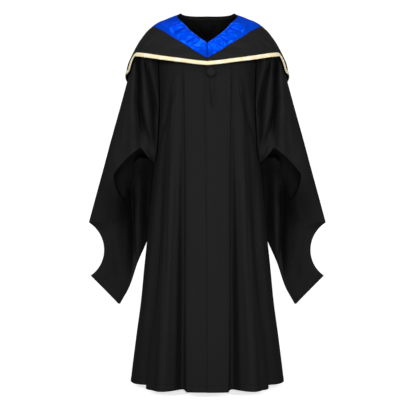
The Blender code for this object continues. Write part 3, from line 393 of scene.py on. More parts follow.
NECK_CREASES = rows_of(
    Crease, (14, -52, 30, -12, 7, 2.6, 0.3), (22, -50, 58, -14, 8, -2.4, 0.2),
    (34, -54, 88, -16, 8, 2.4, 0.3), (6, -50, 10, -24, 5, -1.6, 0.0, 1),
    (8, -52, 16, -20, 6, -1.9, 0.0, -1),
)
BACK_CREASES = rows_of(
    Crease, (20, -300, 24, -1100, 8, -3.1, 0.3, 1), (34, -220, 40, -980, 8, 2.9, 0.0, -1),
    (58, -260, 66, -1180, 10, -3.4, 0.3), (84, -200, 98, -1000, 10, 2.6),
    (104, -420, 126, -1230, 10, -3.6, -0.3), (132, -300, 150, -900, 10, -2.6, 0.0, 1),
    (120, -560, 150, -1240, 8, 2.9, 0.0, -1), (160, -620, 186, -1240, 10, -2.9),
)
COWL_CREASES = rows_of(
    Crease, (40, -140, 92, -230, 8, -3.2, 0.3), (30, -210, 104, -330, 9, 3.0),
    (44, -300, 100, -430, 8, -3.2, 0.3), (20, -380, 84, -500, 9, 2.6),
    (60, -180, 116, -250, 7, 2.0, 0.0, 1), (52, -250, 112, -380, 7, -2.2, 0.0, -1),
    (10, -440, 56, -560, 8, -2.4), (-6, -120, 8, -420, 7, 2.0),
)


def curve(table: tuple, value: str, at: Array, start: str = "level") -> Array:
    """Monotone cubic curve through two columns of a table, held flat past its ends.

    Args:
        table: rows with named columns.
        value: the column that is read.
        at: where it is read.
        start: the column that the curve runs along.

    Returns:
        The value at each place.
    """
    xs = np.array([getattr(entry, start) for entry in table])
    ys = np.array([getattr(entry, value) for entry in table])
    if xs[0] > xs[-1]:
        xs, ys = xs[::-1], ys[::-1]
    run = np.diff(xs)
    rise = np.diff(ys) / run
    same = rise[:-1] * rise[1:] > 0
    early = 2 * run[1:] + run[:-1]
    late = run[1:] + 2 * run[:-1]
    before = np.where(same, rise[:-1], 1)
    after = np.where(same, rise[1:], 1)
    slope = np.zeros_like(ys)
    slope[1:-1] = np.where(same, (early + late) / (early / before + late / after), 0)
    slope[0], slope[-1] = rise[0], rise[-1]
    at = np.clip(at, xs[0], xs[-1])
    k = np.clip(np.searchsorted(xs, at) - 1, 0, len(run) - 1)
    t = (at - xs[k]) / run[k]
    return (ys[k] * (1 + 2 * t) * (1 - t) ** 2 + ys[k + 1] * t * t * (3 - 2 * t)
            + run[k] * t * (1 - t) * (slope[k] * (1 - t) - slope[k + 1] * t))


def ease(low: float, high: float, at: Array) -> Array:
    """Smooth step: 0 before low, 1 after high, t squared times (3 - 2t) between, also downwards."""
    t = np.clip((at - low) / (high - low), 0, 1)
    return t * t * (3 - 2 * t)


def stack(*parts: Array) -> Array:
    """Coordinates side by side, as the last axis of one array."""
    return np.stack(np.broadcast_arrays(*parts), axis=-1)


def bell(off: Array, spread: float | Array) -> Array:
    """1 in the middle, falling to 0 on both sides as a bell."""
    return np.exp(-(off / spread) ** 2)


def inside(share: Array, first: float, last: float) -> Array:
    """1 inside a sheet, easing to 0 at its two edges."""
    return ease(0, first, share) * ease(1, last, share)


def down_shares(rows: int) -> Array:
    """Shares from 0 to 1 down a grid, one for each row."""
    return np.linspace(0, 1, rows)[:, None]


def crease_height(creases: tuple[Crease, ...], across: Array, level: Array,
                  side: int) -> Array:
    """Height of the creases at each point: a bell across each crease, which swells and dies along it.

    Args:
        creases: the creases, in millimetres.
        across: distance from the front centre, on the wearer's left or mirrored to it.
        level: levels of the points.
        side: 1 for the wearer's left, -1 for the right.

    Returns:
        Heights in metres, ridges above zero.
    """
    height = np.zeros(np.broadcast(across, level).shape)
    for crease in creases:
        if crease.side not in (0, side):
            continue
        start = np.array([crease.x_from, crease.z_from]) * MM
        run = np.array([crease.x_to, crease.z_to]) * MM - start
        length = float(np.hypot(*run))
        along = ((across - start[0]) * run[0] + (level - start[1]) * run[1]) / length ** 2
        apart = ((across - start[0]) * run[1] - (level - start[1]) * run[0]) / length
        swell = np.sin(math.pi * np.clip(along, 0, 1)) ** 0.7
        wide = crease.width * MM * (0.65 + 0.6 * np.clip(along, 0, 1))
        apart = apart * (1 + crease.lean * np.tanh(apart / wide))
        height = height + crease.height * MM * swell * bell(apart, wide)
    return height


def both_sides(creases: tuple[Crease, ...], x: Array, level: Array) -> Array:
    """Height of the creases on a sheet that crosses the centre."""
    return np.where(x > 0, crease_height(creases, x, level, 1), crease_height(creases, -x, level, -1))


def gathers(place: Array, down: Array, pitch: float, length: float, height: float) -> Array:
    """Uneven gathers below a seam: a wave whose pitch and length wander, and which dies out downwards.

    Args:
        place: distance along the seam.
        down: distance below the seam.
        pitch: mean distance between gathers.
        length: mean length of a gather.
        height: height of a gather at the seam.

    Returns:
        Heights in metres.
    """
    phase = place / pitch + 0.31 * np.sin(place / pitch * 0.73 + 1.3) + 0.22 * np.sin(place / pitch * 1.9)
    reach = length * (1 + 0.45 * np.sin(place / pitch * 2.4 + 0.6))
    fade = np.exp(-(np.clip(down, 0, None) / reach) ** 1.4)
    return height * np.cos(2 * math.pi * phase) * fade


class RingForm:
    """Form that is worked out from level rings: the radius at a turn and a level."""

    rings: tuple[Ring, ...] = ()

    def radius(self, turn: Array, level: Array) -> Array:
        """Radius of a superellipse: the power mean of its width and its depth in front or behind."""
        side = curve(self.rings, "side", level)
        front = curve(self.rings, "front", level)
        back = curve(self.rings, "back", level)
        across = np.abs(np.sin(turn)) / side
        along = np.abs(np.cos(turn)) / np.where(np.cos(turn) > 0, front, back)
        return (across ** SQUARENESS + along ** SQUARENESS) ** (-1 / SQUARENESS)

    def at(self, turn: Array, level: Array) -> Array:
        """Point of the form: its radius times the sine and minus the cosine of the turn."""
        r = self.radius(turn, level)
        return stack(r * np.sin(turn), -r * np.cos(turn), level)

    def steepness(self, turn: Array, level: Array) -> Array:
        """How far outwards a step of one along the normal lies, from the radius's slopes."""
        step = 1e-4
        r = self.radius(turn, level)
        by_turn = (self.radius(turn + step, level) - self.radius(turn - step, level)) / (2 * step)
        by_level = (self.radius(turn, level + step) - self.radius(turn, level - step)) / (2 * step)
        return np.sqrt(1 + by_level ** 2 + (by_turn / r) ** 2)


def short_way(turn: Array) -> Array:
    """The same turn, measured the short way round from the front centre."""
    return np.minimum(np.abs(turn), 2 * math.pi - np.abs(turn))


class BodyForm(RingForm):
    """The gown's body: its rings and its large folds, the same on both sides."""

    rings = BODY_RINGS

    def radius(self, turn: Array, level: Array) -> Array:
        """Radius of the rings plus a bell across each fold, which grows downwards."""
        degrees = np.degrees(short_way(turn))
        radius = super().radius(turn, level)
        for fold in BODY_FOLDS:
            end = HEM if fold.gone is None else fold.gone
            down = np.clip((fold.start - level) / (fold.start - end), 0, 1)
            middle = fold.turn_top + (fold.turn_hem - fold.turn_top) * down
            grown = np.clip((fold.start - level) / (fold.start - fold.full), 0, 1) ** 0.8
            if fold.gone is not None:
                grown = grown * ease(fold.gone, fold.full, level)
            radius = radius + fold.depth * grown * bell(degrees - middle, fold.spread)
        return radius

    def neck(self, turn: Array) -> Array:
        """Level of the gown's own neck edge, a little below the hood's."""
        return HOOD.edge("neck", turn) - GOWN_NECK_DROP

    def neckband_low(self, turn: Array) -> Array:
        """Lower edge of the neckband, which keeps its width where the shoulders are nearly level."""
        top = self.neck(turn)
        return top - NECKBAND_HEIGHT / self.steepness(turn, top - NECKBAND_HEIGHT / 3)

    def band_edge(self, level: Array) -> Array:
        """Turn of a band's outer edge."""
        return np.radians(curve(BODY_EDGES, "band", level))

    def lap_start(self, level: Array) -> Array:
        """Turn where a side panel starts, lapped under the edge of its band."""
        band = self.band_edge(level)
        return band - BAND_LAP / self.radius(band, level)


class HoodForm(RingForm):
    """The hood's cape, carried on down for the cowl that hangs behind."""

    rings = HOOD_RINGS

    def edge(self, value: str, turn: Array) -> Array:
        """Level of one of the hood's edges at a turn."""
        return curve(HOOD_EDGES, value, np.degrees(short_way(turn)), "turn")

    def trim_top(self, turn: Array) -> Array:
        """Upper edge of the ribbon: how high circles about the hem's points reach at each turn."""
        angle = np.radians(np.linspace(-90, 90, 25))
        r = self.radius(turn, self.edge("hem", turn))
        beside = turn[..., None] - TRIM_HEIGHT * np.sin(angle) / r[..., None]
        return np.max(self.edge("hem", beside) + TRIM_HEIGHT * np.cos(angle), axis=-1)


HOOD = HoodForm()
GOWN = BodyForm()


def grid_normals(surface: Surface, u: Array, v: Array) -> Array:
    """Unit normals of a surface: the cross product of its small steps along u and v.

    Args:
        surface: points of the surface from two parameters.
        u: first parameter at each point.
        v: second parameter at each point.

    Returns:
        One unit normal for each point.
    """
    step = 1e-4
    along = surface(u + step, v) - surface(u - step, v)
    up = surface(u, v + step) - surface(u, v - step)
    normal = np.cross(along, up)
    return normal / np.maximum(np.linalg.norm(normal, axis=-1, keepdims=True), TINY)


class Slot(Enum):
    """Material slots of the record."""

    GOWN = "gown_cloth"
    HOOD = "hood_cloth"
    SATIN = "satin"
    RIBBON = "ribbon"


class Held(Enum):
    """How a sheet of cloth is held."""

    HUNG = "hung"
    GATHERED = "gathered"
    DRAPED = "draped"


@dataclass(frozen=True)
class Number:
    """Socket that carries a number, with the operators that the finishes use."""

    tree: "FinishTree"
    socket: NodeSocket

    def maths(self, operation: str, *others: "Number | float") -> "Number":
        """One Math node on this number and the others."""
        values = dict(enumerate((self, *others)))
        made = self.tree.node("ShaderNodeMath", {"operation": operation}, values)
        return Number(self.tree, made.outputs[0])

    def __add__(self, other: "Number | float") -> "Number":
        """This plus the other."""
        return self.maths("ADD", other)

    __radd__ = __add__

    def __mul__(self, other: "Number | float") -> "Number":
        """This times the other."""
        return self.maths("MULTIPLY", other)

    __rmul__ = __mul__

    def __sub__(self, other: "Number | float") -> "Number":
        """This less the other."""
        return self.maths("SUBTRACT", other)

    def __rsub__(self, other: float) -> "Number":
        """The other less this."""
        return self * -1.0 + other

    def wave(self, pitch: float) -> "Number":
        """Sine wave between 0 and 1 that repeats at a pitch."""
        return (self * (2 * math.pi / pitch)).maths("SINE") * 0.5 + 0.5

    def near(self, place: float, reach: float) -> "Number":
        """1 at a place, falling to 0 at a reach on both sides of it."""
        return (1.0 - (self - place).maths("ABSOLUTE") * (1 / reach)).maths("MAXIMUM", 0.0)


@dataclass
class FinishTree:
    """Node tree of one finish."""

    name: str
    material: Material = field(init=False)

    def __post_init__(self) -> None:
        """Makes the material and empties its tree."""
        self.material = bpy.data.materials.new(self.name)
        self.material.use_nodes = True
        self.material.node_tree.nodes.clear()

    def node(self, kind: str, settings: dict, values: dict) -> bpy.types.Node:
        """One node of any type.

        Args:
            kind: the node's type.
            settings: its properties, set first.
            values: a value, number or socket for each input, by name or place.

        Returns:
            The new node.
        """
        made = self.material.node_tree.nodes.new(kind)
        for name, value in settings.items():
            setattr(made, name, value)
        for key, value in values.items():
            if isinstance(value, Number):
                value = value.socket
            if isinstance(value, NodeSocket):
                self.material.node_tree.links.new(value, made.inputs[key])
            else:
                made.inputs[key].default_value = value
        return made

    def measure(self, name: str) -> Number:
        """One of a sheet's own measures: a distance in metres stored at its points."""
        return Number(self, self.node("ShaderNodeAttribute", {"attribute_name": name}, {}).outputs["Fac"])

    def noise(self, scale: float, detail: float = 3.0, stretch: tuple = (1, 1, 1)) -> Number:
        """Noise between 0 and 1 on the object's own coordinates, stretched along an axis."""
        place = self.node("ShaderNodeTexCoord", {}, {}).outputs["Object"]
        turned = self.node("ShaderNodeMapping", {}, {"Vector": place, "Scale": stretch})
        values = {"Vector": turned.outputs[0], "Scale": scale, "Detail": detail}
        return Number(self, self.node("ShaderNodeTexNoise", {}, values).outputs[0])

    def mix(self, share: Number, first: "tuple | NodeSocket",
            second: "tuple | NodeSocket") -> NodeSocket:
        """Colour between two others."""
        values = {0: share, 6: first, 7: second}
        return self.node("ShaderNodeMix", {"data_type": "RGBA"}, values).outputs[2]

    def bump(self, height: Number, distance: float,
             under: NodeSocket | None = None) -> NodeSocket:
        """Normal from a height, laid on the bump below it."""
        values = {"Height": height, "Distance": distance, "Strength": 1.0}
        if under is not None:
            values["Normal"] = under
        return self.node("ShaderNodeBump", {}, values).outputs[0]

    def close(self, values: dict) -> Material:
        """Principled shader and output."""
        shader = self.node("ShaderNodeBsdfPrincipled", {}, values)
        self.node("ShaderNodeOutputMaterial", {}, {"Surface": shader.outputs[0]})
        return self.material


def rgba(colour: Triple, gain: float = 1.0) -> tuple[float, float, float, float]:
    """A colour made lighter or darker, with its alpha."""
    return (*(channel * gain for channel in colour), 1.0)


@dataclass(frozen=True)
class DullCloth:
    """Matte black cloth: plain weave, short nap, soft unevenness, and stitched hems where it has them."""

    name: str
    colour: Triple = (0.0062, 0.0062, 0.0064)
    roughness: float = 0.66
    sheen: float = 0.0
    pitch: float = 0.9 * MM
    hem: float = HEM_TURN
    stitched: bool = True

    def material(self) -> Material:
        """The finish as a material."""
        tree = FinishTree(self.name)
        across, down = tree.measure("across"), tree.measure("down")
        weave = across.wave(self.pitch) * down.wave(self.pitch)
        nap = tree.noise(900.0, detail=2.0)
        crush = tree.noise(26.0, detail=4.0, stretch=(1.0, 1.0, 0.45))
        patchy = tree.noise(7.0, stretch=(1.0, 1.0, 0.5))
        colour = tree.mix(patchy, rgba(self.colour, 0.78), rgba(self.colour, 1.25))
        colour = tree.mix(nap * 0.35, colour, rgba(self.colour, 2.1))
        normal = tree.bump(crush, 0.8 * MM)
        normal = tree.bump(weave * 0.6 + nap * 0.4, 0.09 * MM, normal)
        if self.stitched:
            line = tree.measure("hem").near(self.hem, 1.4 * MM)
            dashes = across.wave(3.2 * MM)
            colour = tree.mix(line * 0.7, colour, rgba(self.colour, 0.4))
            normal = tree.bump(1.0 - line * (dashes * 0.5 + 0.5), 0.5 * MM, normal)
        values = {"Base Color": colour, "Roughness": patchy * 0.1 + (self.roughness - 0.05), "Normal": normal,
                  "Sheen Weight": self.sheen, "Sheen Roughness": 0.45, "Specular IOR Level": 0.12}
        return tree.close(values)


@dataclass(frozen=True)
class BlueSatin:
    """Blue satin: fine lengthwise floats, a bright soft gloss, slight creasing and painted shade along its
    edges.
    """

    name: str
    light: Triple = (0.0, 0.1, 1.0)
    deep: Triple = (0.0, 0.04, 0.66)
    pitch: float = 0.55 * MM

    def material(self) -> Material:
        """The finish as a material."""
        tree = FinishTree(self.name)
        floats = tree.measure("down").wave(self.pitch)
        crush = tree.noise(30.0, detail=2.0, stretch=(1.0, 1.0, 1.6))
        cloud = tree.noise(15.0, detail=2.0)
        colour = tree.mix(cloud, rgba(self.deep), rgba(self.light))
        # Painted shade: the colour is darkened towards deep blue within a few millimetres of each edge.
        colour = tree.mix(tree.measure("rim").near(0.0, 3.2 * MM) * 0.75, colour, rgba(self.deep, 0.35))
        normal = tree.bump(crush, 0.35 * MM)
        normal = tree.bump(floats, 0.03 * MM, normal)
        values = {"Base Color": colour, "Roughness": crush * 0.12 + 0.34, "Normal": normal, "Metallic": 0.55,
                  "Specular IOR Level": 0.2, "Specular Tint": rgba((0.0, 0.45, 1.0)), "Anisotropic": 0.35}
        return tree.close(values)


@dataclass(frozen=True)
class WovenRibbon:
    """Cream woven ribbon: gold lines along it, cross ribs, two plain selvedges and patches of painted
    highlight.
    """

    name: str
    cream: Triple = (1.0, 0.92, 0.63)
    gold: Triple = (0.74, 0.54, 0.2)
    line: float = 2.6 * MM
    rib: float = 0.9 * MM

    def material(self) -> Material:
        """The finish as a material."""
        tree = FinishTree(self.name)
        across, down = tree.measure("across"), tree.measure("down")
        lines = down.wave(self.line)
        ribs = across.wave(self.rib)
        soil = tree.noise(60.0)
        # Painted highlight: patches where the colour is mixed towards near-white.
        painted_highlight = (tree.noise(38.0, detail=1.0) - 0.52) * 7.0
        painted_highlight = Number(tree, tree.node("ShaderNodeClamp", {}, {"Value": painted_highlight}).outputs[0])
        colour = tree.mix(lines.maths("POWER", 3.0) * 0.45, rgba(self.cream), rgba(self.gold))
        colour = tree.mix(tree.measure("rim").near(0.0, 2.6 * MM) * 0.8, colour, rgba(self.gold))
        colour = tree.mix(soil * 0.16, colour, rgba(self.gold, 0.8))
        colour = tree.mix(painted_highlight * 0.6, colour, rgba((1.0, 0.97, 0.84)))
        normal = tree.bump(lines, 0.25 * MM)
        normal = tree.bump(ribs, 0.12 * MM, normal)
        values = {"Base Color": colour, "Roughness": soil * 0.15 + 0.42, "Normal": normal,
                  "Sheen Weight": 0.2, "Specular IOR Level": 0.45}
        return tree.close(values)


@dataclass
class Cutting:
    """Grid of points for one piece of cloth, with its normals and its measures."""

    points: Array
    normals: Array
    wrap: bool = False
    quads: Array | None = None

    def faces(self) -> Array:
        """Quads of the grid, turned so that they face along the normals."""
        rows, columns = self.points.shape[:2]
        quads = self.quads
        if quads is None:
            quads = grid_quads(rows, columns, self.wrap)
        flat = self.points.reshape(-1, 3)
        out = self.normals.reshape(-1, 3)
        facing = np.cross(flat[quads[:, 1]] - flat[quads[:, 0]], flat[quads[:, 3]] - flat[quads[:, 0]])
        if np.sum(facing * out[quads[:, 0]]) < 0:
            quads = quads[:, ::-1]
        return quads

    def measures(self) -> dict[str, Array]:
        """Distances in metres at each point: across and down the cloth, from its lower edge and its rim."""
        rows = np.linalg.norm(np.diff(self.points, axis=1), axis=-1)
        columns = np.linalg.norm(np.diff(self.points, axis=0), axis=-1)
        across = np.concatenate([0 * rows[:, :1], np.cumsum(rows, axis=1)], axis=1)
        down = np.concatenate([0 * columns[:1], np.cumsum(columns, axis=0)], axis=0)
        hem = down[-1:] - down
        rim = np.minimum(np.minimum(across, across[:, -1:] - across), np.minimum(down, hem))
        if self.wrap:
            rim = np.minimum(down, hem)
        return {"across": across, "down": down, "hem": hem, "rim": rim}


def grid_quads(rows: int, columns: int, wrap: bool = False) -> Array:
    """Quads of a grid of points numbered row by row, closed round where it wraps.

    Args:
        rows: number of rows.
        columns: number of columns.
        wrap: whether the last column joins the first.

    Returns:
        Four point numbers for each quad.
    """
    r, c = np.meshgrid(np.arange(rows - 1), np.arange(columns if wrap else columns - 1), indexing="ij")
    r, c = r.ravel(), c.ravel()
    following = (c + 1) % columns
    return np.stack([r * columns + c, r * columns + following,
                     (r + 1) * columns + following, (r + 1) * columns + c], axis=-1)


def new_mesh(name: str, points: Array, faces: Array) -> Object:
    """Smooth mesh object of quads, at the origin.

    Args:
        name: the piece's name.
        points: its points.
        faces: four point numbers for each face.

    Returns:
        The new object, linked to the scene.
    """
    mesh = bpy.data.meshes.new(name)
    mesh.vertices.add(len(points))
    mesh.vertices.foreach_set("co", points.astype(np.float32).ravel())
    mesh.loops.add(faces.size)
    mesh.loops.foreach_set("vertex_index", faces.astype(np.int32).ravel())
    mesh.polygons.add(len(faces))
    mesh.polygons.foreach_set("loop_start", np.arange(len(faces), dtype=np.int32) * 4)
    mesh.update(calc_edges=True)
    mesh.validate()
    mesh.shade_smooth()
    made = bpy.data.objects.new(name, mesh)
    bpy.context.scene.collection.objects.link(made)
    return made


@dataclass(frozen=True)
class Wardrobe:
    """The finishes, made once and shared by the pieces."""

    gown: Material
    hood: Material
    satin: Material
    ribbon: Material
    button: Material

    def of(self, slot: Slot) -> Material:
        """The finish of a slot."""
        return getattr(self, slot.name.lower())


def make_wardrobe() -> Wardrobe:
    """Makes every finish."""
    return Wardrobe(
        gown=DullCloth("gown_cloth").material(),
        hood=DullCloth("hood_cloth", colour=(0.0066, 0.0066, 0.0068), roughness=0.62, sheen=0.02,
                       pitch=0.7 * MM, stitched=False).material(),
        satin=BlueSatin("satin").material(),
        ribbon=WovenRibbon("ribbon").material(),
        button=DullCloth("button_cloth", colour=(0.0072, 0.0072, 0.0074), roughness=0.64,
                         stitched=False).material(),
    )


def store(piece: Object, measures: dict[str, Array]) -> None:
    """Stores measures at the points of a piece, where its finish reads them."""
    for name, values in measures.items():
        kept = piece.data.attributes.new(name, "FLOAT", "POINT")
        kept.data.foreach_set("value", values.ravel().astype(np.float32))


def tube(path: Array, ahead: Array, out: Array, radius: float | Array, sides: int = 8) -> Array:
    """Circles carried along a path, one for each of its points.

    Args:
        path: points of the path.
        ahead: direction of the path at each point.
        out: direction across it at each point.
        radius: the tube's radius, or one for each point.
        sides: points of a circle.

    Returns:
        Points of every circle, in the order of the path.
    """
    across = np.cross(ahead, out)
    across = across / np.linalg.norm(across, axis=-1, keepdims=True)
    angle = np.linspace(0, 2 * math.pi, sides, endpoint=False)[:, None]
    circle = np.cos(angle) * out[:, None] + np.sin(angle) * across[:, None]
    return (path[:, None] + np.reshape(radius, (-1, 1, 1)) * circle).reshape(-1, 3)


def thin_ends(count: int) -> Array:
    """Shares of a tube's radius along it: full, and nearly nothing at its two ends."""
    share = np.ones(count)
    share[0] = share[-1] = 0.05
    return share


@dataclass
class Tailor:
    """Makes pieces of cloth and places them on the frame."""

    wardrobe: Wardrobe

    def sew(self, name: str, node: str, cutting: Cutting, slot: Slot, flat: Pair, held: Held,
            rests_on: tuple[str, ...] = (), thick: float = CLOTH, backed: bool = False) -> None:
        """One piece of cloth that stands for a node.

        Args:
            name: the piece's name.
            node: the node that it stands for.
            cutting: its points.
            slot: its material slot.
            flat: width and length of its cut; not used.
            held: how it is held; not used.
            rests_on: what it lies on; not used.
            thick: its thickness.
            backed: whether its inner face is black lining.
        """
        piece = new_mesh(name, cutting.points.reshape(-1, 3), cutting.faces())
        measures = cutting.measures()
        store(piece, measures)
        solid = piece.modifiers.new("thickness", "SOLIDIFY")
        solid.thickness = thick
        solid.offset = 0.0
        piece.data.materials.append(self.wardrobe.of(slot))
        if backed:
            piece.data.materials.append(self.wardrobe.hood)
            solid.material_offset = 1
            solid.material_offset_rim = 1
        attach(piece, BODY)
        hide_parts(node)
        area = cloth_area(cutting)
        sizes = (float(measures[key].max()) for key in ("across", "down"))
        LOG.info("%s: %d faces, %.4f m2, %.3f by %.3f m", name, len(piece.data.polygons), area, *sizes)

    def fit(self, name: str, points: Array, faces: Array, slot: Slot, node: str | None,
            finish: Material | None = None) -> None:
        """One closed piece that isn't a sheet of cloth.

        Args:
            name: the piece's name.
            points: its points.
            faces: its quads.
            slot: its material slot.
            node: the node that it stands for, if any.
            finish: its finish, where it isn't the slot's own.
        """
        piece = new_mesh(name, points, faces)
        far = np.ones(len(points))
        store(piece, {"across": points[:, 0], "down": points[:, 2], "hem": far, "rim": far})
        piece.data.materials.append(finish or self.wardrobe.of(slot))
        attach(piece, BODY)
        if node is not None:
            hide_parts(node)
        LOG.info("%s: %d faces", name, len(piece.data.polygons))

    def cord(self, name: str, path: Array, out: Array, radius: float) -> None:
        """Seam allowance behind a seam, as a thin cord that tapers at its ends.

        Args:
            name: the piece's name.
            path: points along the seam.
            out: direction away from the cloth at each point.
            radius: the cord's radius.
        """
        points = tube(path, np.gradient(path, axis=0), out, radius * thin_ends(len(path)))
        self.fit(name, points, grid_quads(len(path), len(points) // len(path), wrap=True), Slot.GOWN, None)


def cloth_area(cutting: Cutting) -> float:
    """Area of a grid: half the cross product of each quad's diagonals, summed."""
    flat = cutting.points.reshape(-1, 3)
    a, b, c, d = (flat[cutting.faces()[:, k]] for k in range(4))
    return float(np.sum(np.linalg.norm(np.cross(c - a, d - b), axis=-1)) / 2)


def lay(form: RingForm, turn: Array, level: Array, inner: float, raised: Array,
        wrap: bool = False) -> Cutting:
    """Sheet on a form, half its wall out from the inner distance, raised along the normal.

    Args:
        form: the form under it.
        turn: turn of each point.
        level: level of each point.
        inner: distance of its inner face from the form.
        raised: height of its creases.
        wrap: whether it closes round.

    Returns:
        The sheet's grid.
    """
    normals = grid_normals(form.at, turn, level)
    side = np.sign(np.sum(normals * stack(np.sin(turn), -np.cos(turn), 0 * turn), axis=-1, keepdims=True))
    normals = normals * np.where(side == 0, 1, side)
    return Cutting(form.at(turn, level) + normals * (inner + WALL / 2 + raised)[..., None], normals, wrap)


def hem_shares(rows: int, close: int = 14) -> Array:
    """Shares from 0 to 1 down a panel, close together over the last fiftieth, which is turned up."""
    return np.concatenate([np.linspace(0, 0.978, rows), np.linspace(0.98, 1, close)])


def turned_edge(away: Array, reach: float, height: float) -> Array:
    """Height of a turned edge: full at the edge and gone at a reach, with a dip where it is stitched."""
    ridge = height * ease(reach, 0.75 * reach, away)
    dip = 0.45 * height * bell(away - reach, 0.12 * reach)
    return ridge - dip


@dataclass
class Fronts:
    """The fluted side panels and the two flat bands that close over each other at the centre."""

    tailor: Tailor
    columns: int = 84
    band_columns: int = 30
    rows: int = 190
    panel_flat: Pair = (0.37, 1.25)
    band_flat: Pair = (0.093, 1.105)
    band_top: float = -0.1325
    band_drift: float = 4 * MM
    cord_depth: float = 1.9 * MM
    cord_radius: float = 1.7 * MM

    def side_panel(self, side: int, word: str) -> None:
        """Side panel from under its band to the armhole and the side seam."""
        share = np.linspace(0, 1, self.columns)
        near_turn = np.radians(30 + 58 * share)
        top = np.minimum(GOWN.neckband_low(near_turn), YOKE_SEAM) - SEAM
        level = top + (HEM - top) * hem_shares(self.rows)[:, None]
        hole = np.radians(curve(BODY_EDGES, "armhole_front", level))
        start = GOWN.lap_start(level)
        turn = start + (hole - start) * share
        x = GOWN.at(turn, level)[..., 0]
        fade = ease(0.03, 0.14, share) * ease(1.0, 0.94, share)
        raised = crease_height(FRONT_CREASES, x, level, side) * fade
        raised = raised + turned_edge(level - HEM, HEM_TURN, 0.5 * MM) * ease(0, 0.02, share)
        away = (turn - start) * GOWN.radius(start, level)
        for groove in BAND_GROOVES:
            grown = groove.depth * ease(groove.start, groove.full, level)
            raised = raised - grown * bell(away - groove.place, groove.spread)
        cutting = lay(GOWN, side * turn, level, 0.0, raised)
        self.tailor.sew("panel_" + word, "front_" + word, cutting, Slot.GOWN, self.panel_flat, Held.HUNG)
        out = cutting.normals[:, -1]
        seam = cutting.points[:, -1] - out * self.cord_depth
        self.tailor.cord("side_seam_" + word, seam, out, self.cord_radius)

    def band(self, side: int, word: str) -> None:
        """Flat front band.  The wearer's left one lies on the right one at the centre."""
        share = np.linspace(0, 1, self.band_columns)
        top = self.band_top - NECKBAND_HEIGHT + 0 * share
        level = top + (HEM - top) * hem_shares(self.rows)[:, None]
        edge = -self.band_drift * ease(HEM, -0.1, level)
        lap = edge if side > 0 else -(edge + CENTRE_LAP)
        centre = lap / GOWN.radius(0 * level, level)
        turn = centre + (GOWN.band_edge(level) - centre) * share
        inner = WALL + BAND_ROOM if side < 0 else 2 * WALL + BAND_ROOM + SEAM
        x = GOWN.at(turn, level)[..., 0]
        raised = crease_height(BAND_CREASES, x, level, side) * ease(-0.2, -0.25, level)
        across = lay(GOWN, side * turn, level, inner, np.zeros_like(turn)).measures()["across"]
        raised = raised * inside(share, 0.12, 0.88) + turned_edge(level - HEM, HEM_TURN, 0.45 * MM)
        raised = raised + turned_edge(across[:, -1:] - across, 5 * MM, 0.7 * MM)
        if side > 0:
            raised = raised + turned_edge(across, 5 * MM, 0.6 * MM)
        cutting = lay(GOWN, side * turn, level, inner, raised * ease(-0.15, -0.19, level))
        self.tailor.sew("band_" + word, "front_band_" + word, cutting, Slot.GOWN, self.band_flat, Held.HUNG)

    def build(self) -> None:
        """Both sides."""
        for side, word in SIDES:
            self.side_panel(side, word)
            self.band(side, word)


@dataclass
class BackAndNeck:
    """The back, gathered into the yoke, and the neckband."""

    tailor: Tailor
    columns: int = 230
    rows: int = 165
    back_flat: Pair = (0.93, 1.255)
    yoke_flat: Pair = (0.66, 0.105)
    yoke_depth: float = -2.2 * MM
    neckband_flat: Pair = (0.75, 0.016)

    def back(self) -> None:
        """Back panel between the armholes and the side seams."""
        share = np.linspace(0, 1, self.columns)
        top = YOKE_SEAM - SEAM
        level = top + (HEM - top) * hem_shares(self.rows)[:, None] + 0 * share
        hole = np.radians(curve(BODY_EDGES, "armhole_back", level))
        turn = hole + (2 * math.pi - 2 * hole) * share
        x = GOWN.at(turn, level)[..., 0]
        fade = inside(share, 0.05, 0.95)
        gathered = gathers(x, top - level, pitch=17 * MM, length=90 * MM, height=1.6 * MM)
        raised = (both_sides(BACK_CREASES, x, level) + gathered * ease(top, top - 12 * MM, level)) * fade
        raised = raised - 0.9 * MM * bell(x, 2.6 * MM)
        raised = raised + turned_edge(level - HEM, HEM_TURN, 0.5 * MM)
        cutting = lay(GOWN, turn, level, 0.0, raised)
        self.tailor.sew("back_panel", "back", cutting, Slot.GOWN, self.back_flat, Held.GATHERED,
                        ("shoulder_yoke",))

    def around(self, front_turn: float, rows: int, columns: int) -> Array:
        """Turns from one front edge round the back to the other, the same in every row."""
        start = math.radians(front_turn)
        return np.linspace(start, 2 * math.pi - start, columns) + np.zeros((rows, 1))

    def yoke(self) -> None:
        """Yoke over the shoulders and across the back, carried up inside the neckband as its lining."""
        turn = self.around(58.0, rows=28, columns=260)
        top = GOWN.neck(turn[0]) - 1.5 * MM
        low = YOKE_SEAM - 3 * MM
        level = top + (low - top) * down_shares(len(turn))
        x = GOWN.at(turn, level)[..., 0]
        raised = both_sides(NECK_CREASES, x, level) * (np.cos(turn) < 0) + 1.3 * MM * bell(x, 1.6 * MM)
        cutting = lay(GOWN, turn, level, self.yoke_depth, raised)
        self.tailor.sew("shoulder_yoke", "yoke", cutting, Slot.GOWN, self.yoke_flat, Held.DRAPED)

    def neckband(self) -> None:
        """Narrow band round the neck, from one front edge to the other."""
        turn = self.around(6.0, rows=7, columns=220)
        top = GOWN.neck(turn[0])
        level = top + (GOWN.neckband_low(turn[0]) - top) * down_shares(len(turn))
        cutting = lay(GOWN, turn, level, 0.0, np.zeros_like(level))
        self.tailor.sew("neck_binding", "neckband", cutting, Slot.GOWN, self.neckband_flat, Held.DRAPED)

    def build(self) -> None:
        """The back, the yoke and the neckband."""
        self.yoke()
        self.neckband()
        self.back()


